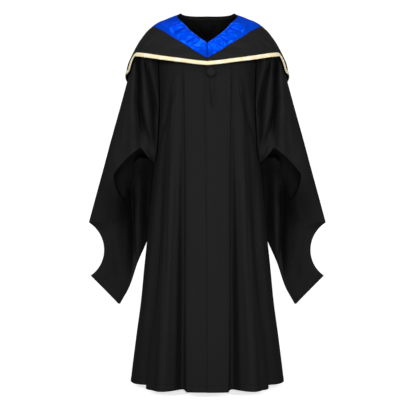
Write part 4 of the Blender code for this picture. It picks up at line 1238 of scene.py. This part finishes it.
class SleeveForm:
    """Form of a sleeve on the wearer's left: two sheets, one in front and one behind."""

    steps: int = 90
    bow_place: float = 0.38
    rear_bow: float = 0.4
    steepest: float = 2.5
    flare: float = 1.2

    def row(self, column: str, level: Array) -> Array:
        """Column of the sleeve's table at a level."""
        return curve(SLEEVE_ROWS, column, level)

    def outer(self, level: Array) -> Array:
        """Outer edge as it would run past the crescent, and the slanted end."""
        down = np.clip((CORNER_TOP.level - level) / (CORNER_TOP.level - CORNER_LOW.level), 0, 1)
        end = np.clip((CORNER_LOW.level - level) / (CORNER_LOW.level - SLEEVE_TIP.level), 0, 1)
        x = curve(SLEEVE_OUTER, "x", level)
        x = x + (CORNER_LOW.x - CORNER_TOP.x) * down + (SLEEVE_TIP.x - CORNER_LOW.x) * end
        return stack(x, curve(SLEEVE_OUTER, "y", level) + (CORNER_LOW.y - CORNER_TOP.y) * down)

    def crescent(self, level: Array) -> Array:
        """How deep the crescent cuts into the sleeve: its edge is part of a circle."""
        half = (CORNER_TOP.level - CORNER_LOW.level) / 2
        middle = (CORNER_TOP.level + CORNER_LOW.level) / 2
        radius = (half ** 2 + CRESCENT_DEPTH ** 2) / (2 * CRESCENT_DEPTH)
        reach = np.sqrt(np.clip(radius ** 2 - (level - middle) ** 2, 0, None))
        return np.clip(reach - (radius - CRESCENT_DEPTH), 0, None)

    def inner(self, level: Array, column: str) -> Array:
        """Inner edge of a sheet: on the body's side, then the sleeve's own edge below it."""
        turn = np.radians(self.row(column, level))
        side = GOWN.at(turn, level)[..., :2]
        if column == "upper":
            return side
        free = stack(curve(SLEEVE_INNER, "x", level), curve(SLEEVE_INNER, "y", level))
        return side + (free - side) * ease(BODY_SIDE_END, INNER_EDGE_START, level)[..., None]

    def path(self, level: Array, column: str, reach_in: Array, reach_out: Array,
             direction: int) -> Array:
        """Plan of a sheet as a cubic Bezier curve from its inner to its outer edge.

        Args:
            level: levels of the sections.
            column: column of the table with the inner edge's turn.
            reach_in: how far the curve bows near the inner edge.
            reach_out: how far it bows near the outer edge.
            direction: -1 to bow forwards, 1 to bow back.

        Returns:
            Plan points along each section.
        """
        a = self.inner(level, column)
        d = self.outer(level)
        wide = (d - a)[..., 0]
        b = a + stack(self.bow_place * wide, direction * reach_in)
        c = d + stack(-self.row("pull", level) * wide, direction * reach_out)
        t = np.linspace(0, 1, self.steps)[:, None]
        a, b, c, d = (p[..., None, :] for p in (a, b, c, d))
        return (1 - t) ** 3 * a + 3 * (1 - t) ** 2 * t * b + 3 * (1 - t) * t * t * c + t ** 3 * d

    def along(self, path: Array, share: Array) -> Array:
        """Points at shares of the length of each path.

        Args:
            path: plan points, the last two axes being steps and coordinates.
            share: share of the length, one for each path.

        Returns:
            One plan point for each path.
        """
        legs = np.linalg.norm(np.diff(path, axis=-2), axis=-1)
        done = np.concatenate([np.zeros_like(legs[..., :1]), np.cumsum(legs, axis=-1)], axis=-1)
        target = share * done[..., -1]
        k = np.clip(np.sum(done <= target[..., None], axis=-1) - 1, 0, legs.shape[-1] - 1)
        before = np.take_along_axis(done, k[..., None], axis=-1)[..., 0]
        leg = np.take_along_axis(legs, k[..., None], axis=-1)[..., 0]
        t = (target - before) / np.maximum(leg, 1e-9)
        index = k[..., None, None] + np.zeros((*k.shape, 1, 2), dtype=int)
        a = np.take_along_axis(path, index, axis=-2)[..., 0, :]
        b = np.take_along_axis(path, index + 1, axis=-2)[..., 0, :]
        return a + (b - a) * t[..., None]

    def trimmed(self, path: Array, share: Array, level: Array,
                outer_first: bool = False) -> Array:
        """Points at shares of each path, which is cut off at the crescent and eased to the seam there.

        Args:
            path: plan points of each section.
            share: share of the section's length, once it is cut off.
            level: levels of the sections.
            outer_first: whether the path starts at the outer edge.

        Returns:
            One plan point for each path.
        """
        length = np.sum(np.linalg.norm(np.diff(path, axis=-2), axis=-1), axis=-1)
        cut = self.crescent(level) / length
        point = self.along(path, cut + (1 - cut) * share if outer_first else (1 - cut) * share)
        edge = self.along(path, cut if outer_first else 1 - cut)
        seam = self.outer(level) - stack(self.crescent(level), 0 * level)
        near = ease(CRESCENT_EASE, 0, np.linalg.norm(point - edge, axis=-1))
        return point + (seam - edge) * near[..., None]

    def folds(self, folds: tuple[SleeveFold, ...], x: Array, level: Array) -> Array:
        """How far the large folds move a sheet forwards: a bell across each, rounded off at its ends."""
        moved = 0 * x
        for fold in folds:
            down = np.clip((fold.start - level) / (fold.start - fold.end), 0, 1)
            middle = fold.x_top + (fold.x_low - fold.x_top) * down
            size = np.sin(math.pi * np.clip(down * 0.9 + 0.1, 0, 1)) ** 0.5
            moved = moved + fold.depth * size * bell(x - middle, fold.spread)
        return moved

    def lower_folds(self, x: Array, level: Array) -> Array:
        """Folds that both sheets share below the slit, fading towards the inner and outer edges."""
        inner = self.inner(level, "lower")[..., 0]
        outer = self.outer(level)[..., 0]
        share = (x - inner) / np.maximum(outer - inner, MM)
        return self.folds(LOWER_FOLDS, x, level) * inside(share, 0.25, 0.75)

    def clear_of_body(self, point: Array, clear: float) -> Array:
        """Points moved along the radius, out of the body's wall and in under the cape."""
        x, y, level = point[..., 0], point[..., 1], point[..., 2]
        turn = np.arctan2(x, -y)
        r = np.hypot(x, y)
        least = GOWN.radius(turn, level) + (WALL + clear) * GOWN.steepness(turn, level)
        room = (WALL + SEAM + CAPE_ROOM) * np.minimum(HOOD.steepness(turn, level), self.steepest)
        below = np.clip(HOOD.edge("hem", turn) - level, 0, None)
        most = HOOD.radius(turn, level) - room + self.flare * below
        fixed = np.maximum(np.minimum(r, most), least)
        return stack(x * fixed / r, y * fixed / r, level)

    def upper_front(self, share: Array, level: Array) -> Array:
        """Plan of the front sheet above the slit and beside it."""
        path = self.path(level, "upper", self.row("fore_in", level), self.row("fore_out", level), -1)
        point = self.trimmed(path, share, level)
        forward = self.folds(UPPER_FOLDS, point[..., 0], level) * inside(share, 0.12, 0.86)
        return point - stack(0 * forward, forward)

    def lower_front(self, share: Array, level: Array) -> Array:
        """Plan of the front sheet below the slit, which starts as the upper sheet beside the slit's end."""
        path = self.path(level, "lower", self.row("low_in", level), self.row("low_out", level), -1)
        point = self.trimmed(path, share, level)
        forward = self.lower_folds(point[..., 0], level)
        point = point - stack(0 * forward, forward)
        above = ease(SLIT_END - 0.25, SLIT_END, share) * ease(-0.74, SLIT_LEVEL, level)
        return point + (self.upper_front(share, level) - point) * above[..., None]

    def front(self, plan: Surface, clear: float, side: int) -> Surface:
        """A front sheet in space, creased, clear of the body, the cape and the back sheet."""
        def surface(share: Array, level: Array) -> Array:
            share = np.clip(share, 0, 1)
            flat = plan(share, level)
            fade = inside(share, 0.08, 0.9) * ease(SLEEVE_TIP.level, SLEEVE_FADE, level)
            head = gathers(flat[..., 0], -0.13 - level, pitch=24 * MM, length=50 * MM, height=0.9 * MM)
            forward = crease_height(SLEEVE_CREASES, flat[..., 0], level, side)
            forward = (forward + head * ease(-0.1, -0.15, level)) * fade
            point = stack(flat[..., 0], flat[..., 1] - forward, level)
            return self.clear_of_body(point, clear) - np.array([0, 0.9 * SEAM, 0])
        return surface

    def back(self, side: int) -> Surface:
        """The back sheet: from the outer edge round behind, then along the body's side."""
        def surface(share: Array, level: Array) -> Array:
            share = np.clip(share, 0, 1)
            rear = self.row("rear", level)
            path = self.path(level, "back", self.rear_bow * rear, rear, 1)[..., ::-1, :]
            start = np.radians(self.row("back", level))
            stop = np.radians(self.row("under", level))
            turn = start[..., None] + (stop - start)[..., None] * np.linspace(0, 1, 30)[1:]
            body = GOWN.at(turn, level[..., None] + 0 * turn)[..., :2]
            keep = ease(INNER_EDGE_START, BODY_SIDE_END, level)[..., None, None]
            body = path[..., -1:, :] + (body - path[..., -1:, :]) * keep
            point = self.trimmed(np.concatenate([path, body], axis=-2), share, level, True)
            forward = self.lower_folds(point[..., 0], level) * ease(-0.47, -0.62, level)
            fade = ease(0, 0.1, share) * ease(0.62, 0.5, share) * ease(SLEEVE_TIP.level, SLEEVE_FADE, level)
            rearward = crease_height(REAR_CREASES, point[..., 0], level, side) * fade
            point = stack(point[..., 0], point[..., 1] - forward + rearward, level)
            return self.clear_of_body(point, WALL + REAR_ROOM) + np.array([0, 0.9 * SEAM, 0])
        return surface

    def normals(self, surface: Surface, share: Array, level: Array) -> Array:
        """Unit normals from steps that stay on the sheet at its edges."""
        step, rise = 4e-3, 0.5 * MM
        along = surface(np.clip(share + step, 0, 1), level) - surface(np.clip(share - step, 0, 1), level)
        up = surface(share, level + rise) - surface(share, level - rise)
        normal = np.cross(along, up)
        return normal / np.maximum(np.linalg.norm(normal, axis=-1, keepdims=True), TINY)


@dataclass
class Sleeves:
    """The long closed sleeves, slit in front for the arm and cut in a crescent near the end."""

    tailor: Tailor
    form: SleeveForm = field(default_factory=SleeveForm)
    columns: int = 81
    upper_rows: int = 96
    front_flat: Pair = (0.31, 0.98)
    back_flat: Pair = (0.36, 0.98)
    cord_depth: float = 0.7 * MM
    cord_radius: float = 0.9 * MM

    def leveled(self, start: float, counts: tuple[int, int, int]) -> Array:
        """Shares of the way to the tip, with rows exactly at the crescent's two corners."""
        whole = start - SLEEVE_TIP.level
        top, low = ((start - corner.level) / whole for corner in (CORNER_TOP, CORNER_LOW))
        return np.concatenate([np.linspace(0, top, counts[0])[:-1], np.linspace(top, low, counts[1])[:-1],
                               np.linspace(low, 1, counts[2])])

    def front(self, side: int, word: str) -> None:
        """Front sheet in one piece: two grids that share their points beyond the slit's outer end."""
        share = np.linspace(0, 1, self.columns)
        upper_lip = curve(SLIT_LIPS, "upper", share, "across")
        lower_lip = curve(SLIT_LIPS, "lower", share, "across")
        upper = SLEEVE_HEAD + (upper_lip - SLEEVE_HEAD) * np.linspace(0, 1, self.upper_rows)[:, None]
        down = self.leveled(SLIT_LEVEL, (38, 44, 24))
        lower = lower_lip + (SLEEVE_TIP.level - lower_lip) * down[:, None]
        mirror = np.array([side, 1, 1])
        points, normals = [], []
        for plan, level, lip, clear in ((self.form.upper_front, upper, upper_lip, FRONT_ROOM),
                                        (self.form.lower_front, lower, lower_lip, WALL + REAR_ROOM)):
            surface = self.form.front(plan, clear, side)
            across = share + 0 * level
            out = self.form.normals(surface, across, level)
            out = out * np.where(out[..., 1:2] > 0, -1, 1)
            raised = turned_edge(np.abs(level - lip), 6 * MM, 1.7 * MM) * (across < SLIT_END)
            points.append((surface(across, level) + out * (WALL / 2 + raised)[..., None]) * mirror)
            normals.append(out * mirror)
        first = len(upper) * self.columns
        quads = [grid_quads(len(upper), self.columns), grid_quads(len(lower), self.columns) + first]
        number = np.arange(first + len(lower) * self.columns)
        lip_row = number[first:first + self.columns]
        lip_row[share >= SLIT_END - TINY] -= self.columns
        quads = number[np.concatenate(quads)]
        cutting = Cutting(np.concatenate(points), np.concatenate(normals), quads=quads)
        self.tailor.sew("sleeve_front_" + word, f"sleeve_{word}_front", cutting, Slot.GOWN, self.front_flat,
                        Held.HUNG)

    def back(self, side: int, word: str) -> None:
        """Back sheet, which also closes the sleeve under the arm."""
        share = np.linspace(0, 1, 96)
        down = self.leveled(SLEEVE_HEAD, (100, 44, 22))
        level = (SLEEVE_HEAD + (SLEEVE_TIP.level - SLEEVE_HEAD) * down)[:, None] + 0 * share
        across = share + 0 * level
        surface = self.form.back(side)
        out = self.form.normals(surface, across, level)
        mirror = np.array([side, 1, 1])
        cutting = Cutting((surface(across, level) + out * WALL / 2) * mirror, out * mirror)
        self.tailor.sew("sleeve_back_" + word, f"sleeve_{word}_back", cutting, Slot.GOWN, self.back_flat,
                        Held.HUNG)
        front = self.form.front(self.form.lower_front, WALL + REAR_ROOM, side)
        down = np.linspace(-0.2, SLEEVE_TIP.level, 260)
        seam = (front(np.ones_like(down), down) + surface(np.zeros_like(down), down)) / 2 * mirror
        out = np.tile([float(side), 0, 0], (len(down), 1))
        self.tailor.cord("sleeve_seam_" + word, seam - self.cord_depth * out, out, self.cord_radius)

    def build(self) -> None:
        """Both sleeves."""
        for side, word in SIDES:
            self.front(side, word)
            self.back(side, word)


@dataclass
class Hood:
    """The hood's satin facing, cape, ribbon and piping."""

    tailor: Tailor
    facing_flat: Pair = (0.55, 0.09)
    cape_flat: Pair = (0.76, 0.28)
    trim_flat: Pair = (1.53, 0.0135)
    piping: float = 0.9 * MM
    satin_gain: float = 1.6
    satin_bed: float = 3 * MM
    satin_bulge: float = 2.6 * MM

    def turns(self) -> Array:
        """Turns of half the hood, closer together at the front and at the side where the hem drops."""
        parts = (0.12, 60, 80), (61, 73, 14), (73.5, 81, 40), (82, 100, 16), (101.5, 179.88, 60)
        return np.radians(np.concatenate([np.linspace(*part) for part in parts]))

    def facing(self, side: int, word: str) -> None:
        """Satin along the neck, creased over a soft bulge, and drawn in along the centre seam."""
        share = down_shares(28)
        turn = self.turns() + 0 * share
        top = HOOD.edge("neck", turn[0])
        low = HOOD.edge("satin", turn[0])
        level = top + (low - top) * share
        x = HOOD.at(turn, level)[..., 0]
        fade = inside(share, 0.2, 0.8) * ease(95, 85, np.degrees(turn))
        raised = self.satin_gain * crease_height(SATIN_CREASES, x, level, side) * fade
        raised = np.maximum(raised, -self.satin_bed) + self.satin_bulge * np.sin(math.pi * share)
        raised = raised - 1.0 * MM * bell(x, 3 * MM)
        cutting = lay(HOOD, side * turn, level, 0.0, raised)
        self.tailor.sew("satin_facing_" + word, "hood_facing_" + word, cutting, Slot.SATIN, self.facing_flat,
                        Held.DRAPED, ("shoulder_yoke",), backed=True)

    def cape(self, side: int, word: str) -> None:
        """Black cape from the satin's edge to the hem."""
        share = down_shares(40)
        turn = self.turns() + 0 * share
        top = HOOD.edge("satin", turn[0]) - SEAM
        low = HOOD.edge("hem", turn[0])
        level = top + (low - top) * share
        x = HOOD.at(turn, level)[..., 0]
        clear = ease(1.0, 0.8, (top - level) / np.maximum(top - HOOD.trim_top(turn[0]), MM))
        raised = crease_height(CAPE_CREASES, x, level, side) * ease(0, 0.15, share)
        raised = (raised - 0.7 * MM * bell(x, 2.5 * MM)) * clear
        cutting = lay(HOOD, side * turn, level, 0.0, raised)
        self.tailor.sew("cape_" + word, "hood_cape_" + word, cutting, Slot.HOOD, self.cape_flat, Held.DRAPED,
                        ("shoulder_yoke",))

    def trim(self) -> None:
        """Woven ribbon on the outside of the cape's hem, all the way round."""
        half = self.turns()
        half[0], half[-1] = 0, math.pi
        share = down_shares(9)
        turn = np.concatenate([half, 2 * math.pi - half[-2:0:-1]]) + 0 * share
        top, low = HOOD.trim_top(turn[0]), HOOD.edge("hem", turn[0])
        level = top + (low - top) * share
        raised = 0.35 * MM * np.sin(math.pi * share) + 0 * level
        cutting = lay(HOOD, turn, level, WALL + SEAM - (WALL - TRIM_ROOM) / 2, raised, wrap=True)
        self.tailor.sew("ribbon_trim", "hood_trim", cutting, Slot.RIBBON, self.trim_flat, Held.DRAPED,
                        ("cape_left", "cape_right"), thick=TRIM_ROOM)

    def pipe(self, name: str, edge: str, drop: float) -> None:
        """Narrow piping along an edge, all the way round."""
        turn = np.linspace(0, 2 * math.pi, 560, endpoint=False)
        level = HOOD.edge(edge, turn) - drop
        out = lay(HOOD, turn[None], level[None], 0.0, np.zeros((1, len(turn)))).normals[0]
        path = HOOD.at(turn, level) + out * (WALL / 2 + 0.5 * MM)
        ahead = np.roll(path, -1, axis=0) - np.roll(path, 1, axis=0)
        points = tube(path, ahead, out, self.piping)
        quads = grid_quads(len(path) + 1, len(points) // len(path), wrap=True) % len(points)
        self.tailor.fit(name, points, quads, Slot.HOOD, None)

    def build(self) -> None:
        """Facing and cape on both sides, the ribbon and the piping."""
        for side, word in SIDES:
            self.facing(side, word)
            self.cape(side, word)
        self.trim()
        self.pipe("piping_neck", "neck", 0.0)
        self.pipe("piping_cape", "satin", SEAM / 2)


@dataclass
class Cowl:
    """The part of the hood that hangs behind, with its satin lining turned out at the mouth."""

    tailor: Tailor
    rows: int = 120
    cowl_flat: Pair = (0.27, 0.625)
    lining_flat: Pair = (0.17, 0.46)
    lining_end: float = -0.480

    def surface(self, u: Array, v: Array) -> Array:
        """Point of the cowl: the hood's form carried down, puffed out most along its middle."""
        wide = curve(COWL_ROWS, "cowl", v)
        puff = curve(COWL_ROWS, "puff", v) * (1 - (u / wide) ** 2)
        turn = np.arctan2(u, -curve(HOOD_RINGS, "back", v))
        return HOOD.at(turn, v) + stack(0 * puff, puff, 0 * puff)

    def sheet(self, name: str, node: str, low: float, half: str, inner: float, slot: Slot,
              flat: Pair, columns: int) -> None:
        """One layer of the cowl, with its rows closer together towards its rounded end.

        Args:
            name: the piece's name.
            node: the node that it stands for.
            low: level of its lower end.
            half: column of the table with its half width.
            inner: distance of its inner face from the cowl's surface.
            slot: its material slot.
            flat: width and length of its cut.
            columns: number of columns of its grid.
        """
        share = np.linspace(-1, 1, columns)
        down = np.sin(down_shares(self.rows) * math.pi / 2)
        level = COWL_ROWS[0].level + (low - COWL_ROWS[0].level) * down + 0 * share
        across = curve(COWL_ROWS, half, level) * share
        normals = grid_normals(self.surface, across, level)
        normals = normals * np.where(normals[..., 1:2] < 0, -1, 1)
        fade = ease(1, 0.8, np.abs(share)) * ease(0, 14 * MM, np.abs(across))
        fade = fade * ease(COWL_ROWS[0].level, -0.1, level) * ease(low, low + 0.06, level)
        raised = both_sides(COWL_CREASES, across, level) * fade
        points = self.surface(across, level) + normals * (inner + WALL / 2 + raised)[..., None]
        self.tailor.sew(name, node, Cutting(points, normals), slot, flat, Held.HUNG,
                        ("cape_left", "cape_right"))

    def build(self) -> None:
        """The cowl and its lining."""
        room = WALL + SEAM + TRIM_ROOM + COWL_ROOM
        self.sheet("cowl", "hood_cowl", COWL_ROWS[-1].level, "cowl", room, Slot.HOOD, self.cowl_flat, 90)
        self.sheet("cowl_lining", "hood_lining", self.lining_end, "lining", room + WALL + SEAM, Slot.SATIN,
                   self.lining_flat, 60)


@dataclass
class Closing:
    """The covered button and the loop beside it."""

    tailor: Tailor
    place: Pair = (0.0122, -0.2208)
    radius: float = 16.5 * MM
    thick: float = 8 * MM
    groove: float = 0.82
    groove_depth: float = 0.2
    rim: float = 0.91
    rim_drop: float = 0.62
    loop_place: Pair = (-0.0068, -0.2085)
    loop_reach: float = 7.5 * MM
    loop_thick: float = 3 * MM

    def band_face(self, level: float) -> float:
        """Y of the outer face of the upper front band at the centre."""
        radius = GOWN.radius(np.array(0.0), np.array(level))
        return BAND_SAG - float(radius) - 3 * WALL - BAND_ROOM - SEAM

    def button(self) -> None:
        """Domed button with a rim round a sunken groove: a profile turned about its middle."""
        r, thick = self.radius, self.thick
        seat = self.band_face(self.place[1] - r) - SEAM
        share = np.linspace(0, 1, 40)
        dome = 1 - 0.05 * share ** 2 - self.groove_depth * bell(share - self.groove, 0.05)
        dome = dome * (1 - self.rim_drop * ease(self.rim, 1.0, share) ** 2)
        radii = np.concatenate([share * r, np.array([0.99, 0.95, 0.82, 0.4, 0.0]) * r])
        depth = np.concatenate([dome * thick, np.array([0.22, 0.08, 0.0, 0.0, 0.0]) * thick])
        radii[0] = radii[-1] = 0.05 * MM
        angle = np.linspace(0, 2 * math.pi, 64, endpoint=False)
        x = self.place[0] + radii[:, None] * np.cos(angle)
        z = self.place[1] + radii[:, None] * np.sin(angle)
        pull = 0.25 * MM * np.sin(11 * angle + 1.1 * np.sin(3 * angle)) * ease(0.72, 0.86, radii / r)[:, None]
        points = stack(x, seat - depth[:, None] - pull * (depth[:, None] > 0.3 * thick), z)
        quads = grid_quads(len(radii), 64, wrap=True)
        self.tailor.fit("button_cover", points.reshape(-1, 3), quads[:, ::-1], Slot.GOWN, "button",
                        self.tailor.wardrobe.button)

    def loop(self) -> None:
        """Arched loop: a cord along half a circle, closed at its two ends."""
        x, level = self.loop_place
        half = self.loop_thick / 2
        along = np.linspace(0, math.pi, 40)
        out = stack(np.cos(along), 0, np.sin(along))
        ahead = stack(-np.sin(along), 0, np.cos(along))
        path = np.array([x, self.band_face(level) - SEAM - half, level]) + (self.loop_reach - half) * out
        points = tube(path, ahead, out, 0.95 * half * thin_ends(len(along)), sides=12)
        self.tailor.fit("loop", points, grid_quads(len(along), 12, wrap=True), Slot.GOWN, "button_loop",
                        self.tailor.wardrobe.button)

    def build(self) -> None:
        """The button and its loop."""
        self.button()
        self.loop()


@dataclass
class Studio:
    """White sweep, soft lights and the photograph's camera."""

    floor_level: float = -1.266
    lens: float = 67.93
    place: Triple = (0.0024, -2.70, -0.66)
    bend: float = 1.2
    bend_start: float = 2.4
    near_end: float = -6.0
    top_end: float = 5.0
    half_width: float = 7.0
    glow: float = 0.74
    world_light: float = 0.12

    def sweep(self) -> None:
        """Floor that curves up into a back wall: a quarter circle between two straight runs."""
        turn = np.linspace(0, math.pi / 2, 24)
        y = np.concatenate([[self.near_end], self.bend_start + self.bend * np.sin(turn),
                            [self.bend_start + self.bend]])
        z = np.concatenate([[0.0], self.bend - self.bend * np.cos(turn), [self.top_end]]) + self.floor_level
        points = stack(np.array([[-self.half_width, self.half_width]]), y[:, None], z[:, None]).reshape(-1, 3)
        piece = new_mesh("studio_sweep", points, grid_quads(len(y), 2))
        tree = FinishTree("studio_white")
        values = {"Base Color": rgba((0.93, 0.93, 0.93)), "Roughness": 0.9, "Specular IOR Level": 0.1,
                  "Emission Color": rgba((1.0, 1.0, 1.0)), "Emission Strength": self.glow}
        piece.data.materials.append(tree.close(values))
        piece.visible_diffuse = False
        piece.visible_glossy = False

    def light(self, lamp: Lamp) -> None:
        """One area light, turned towards its aim."""
        data = bpy.data.lights.new(lamp.name, "AREA")
        data.size = lamp.size
        data.energy = lamp.power
        made = bpy.data.objects.new(lamp.name, data)
        bpy.context.scene.collection.objects.link(made)
        made.location = lamp.place
        x, y, z = np.array(lamp.place) - np.array(lamp.aim)
        made.rotation_euler = (math.atan2(math.hypot(x, y), z), 0, math.atan2(x, -y))

    def build(self) -> None:
        """Sweep, lights, world and camera."""
        self.sweep()
        for lamp in LAMPS:
            self.light(lamp)
        world = bpy.data.worlds.new("studio")
        bpy.context.scene.world = world
        world.use_nodes = True
        background = world.node_tree.nodes["Background"]
        background.inputs["Color"].default_value = rgba((1, 1, 1))
        background.inputs["Strength"].default_value = self.world_light
        data = bpy.data.cameras.new("camera")
        data.lens = self.lens
        data.sensor_width = 36.0
        camera = bpy.data.objects.new("camera", data)
        bpy.context.scene.collection.objects.link(camera)
        camera.location = self.place
        camera.rotation_euler = (math.pi / 2, 0, 0)
        bpy.context.scene.camera = camera
        bpy.context.scene.view_settings.view_transform = "Standard"


def main() -> None:
    """Builds the gown over the frame."""
    logging.basicConfig(level=logging.INFO, format="%(message)s")
    for old in list(bpy.data.objects):
        bpy.data.objects.remove(old, do_unlink=True)
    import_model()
    tailor = Tailor(make_wardrobe())
    for part in (BackAndNeck, Fronts, Sleeves, Hood, Cowl, Closing):
        part(tailor).build()
    Studio().build()


if __name__ == "__main__":
    main()
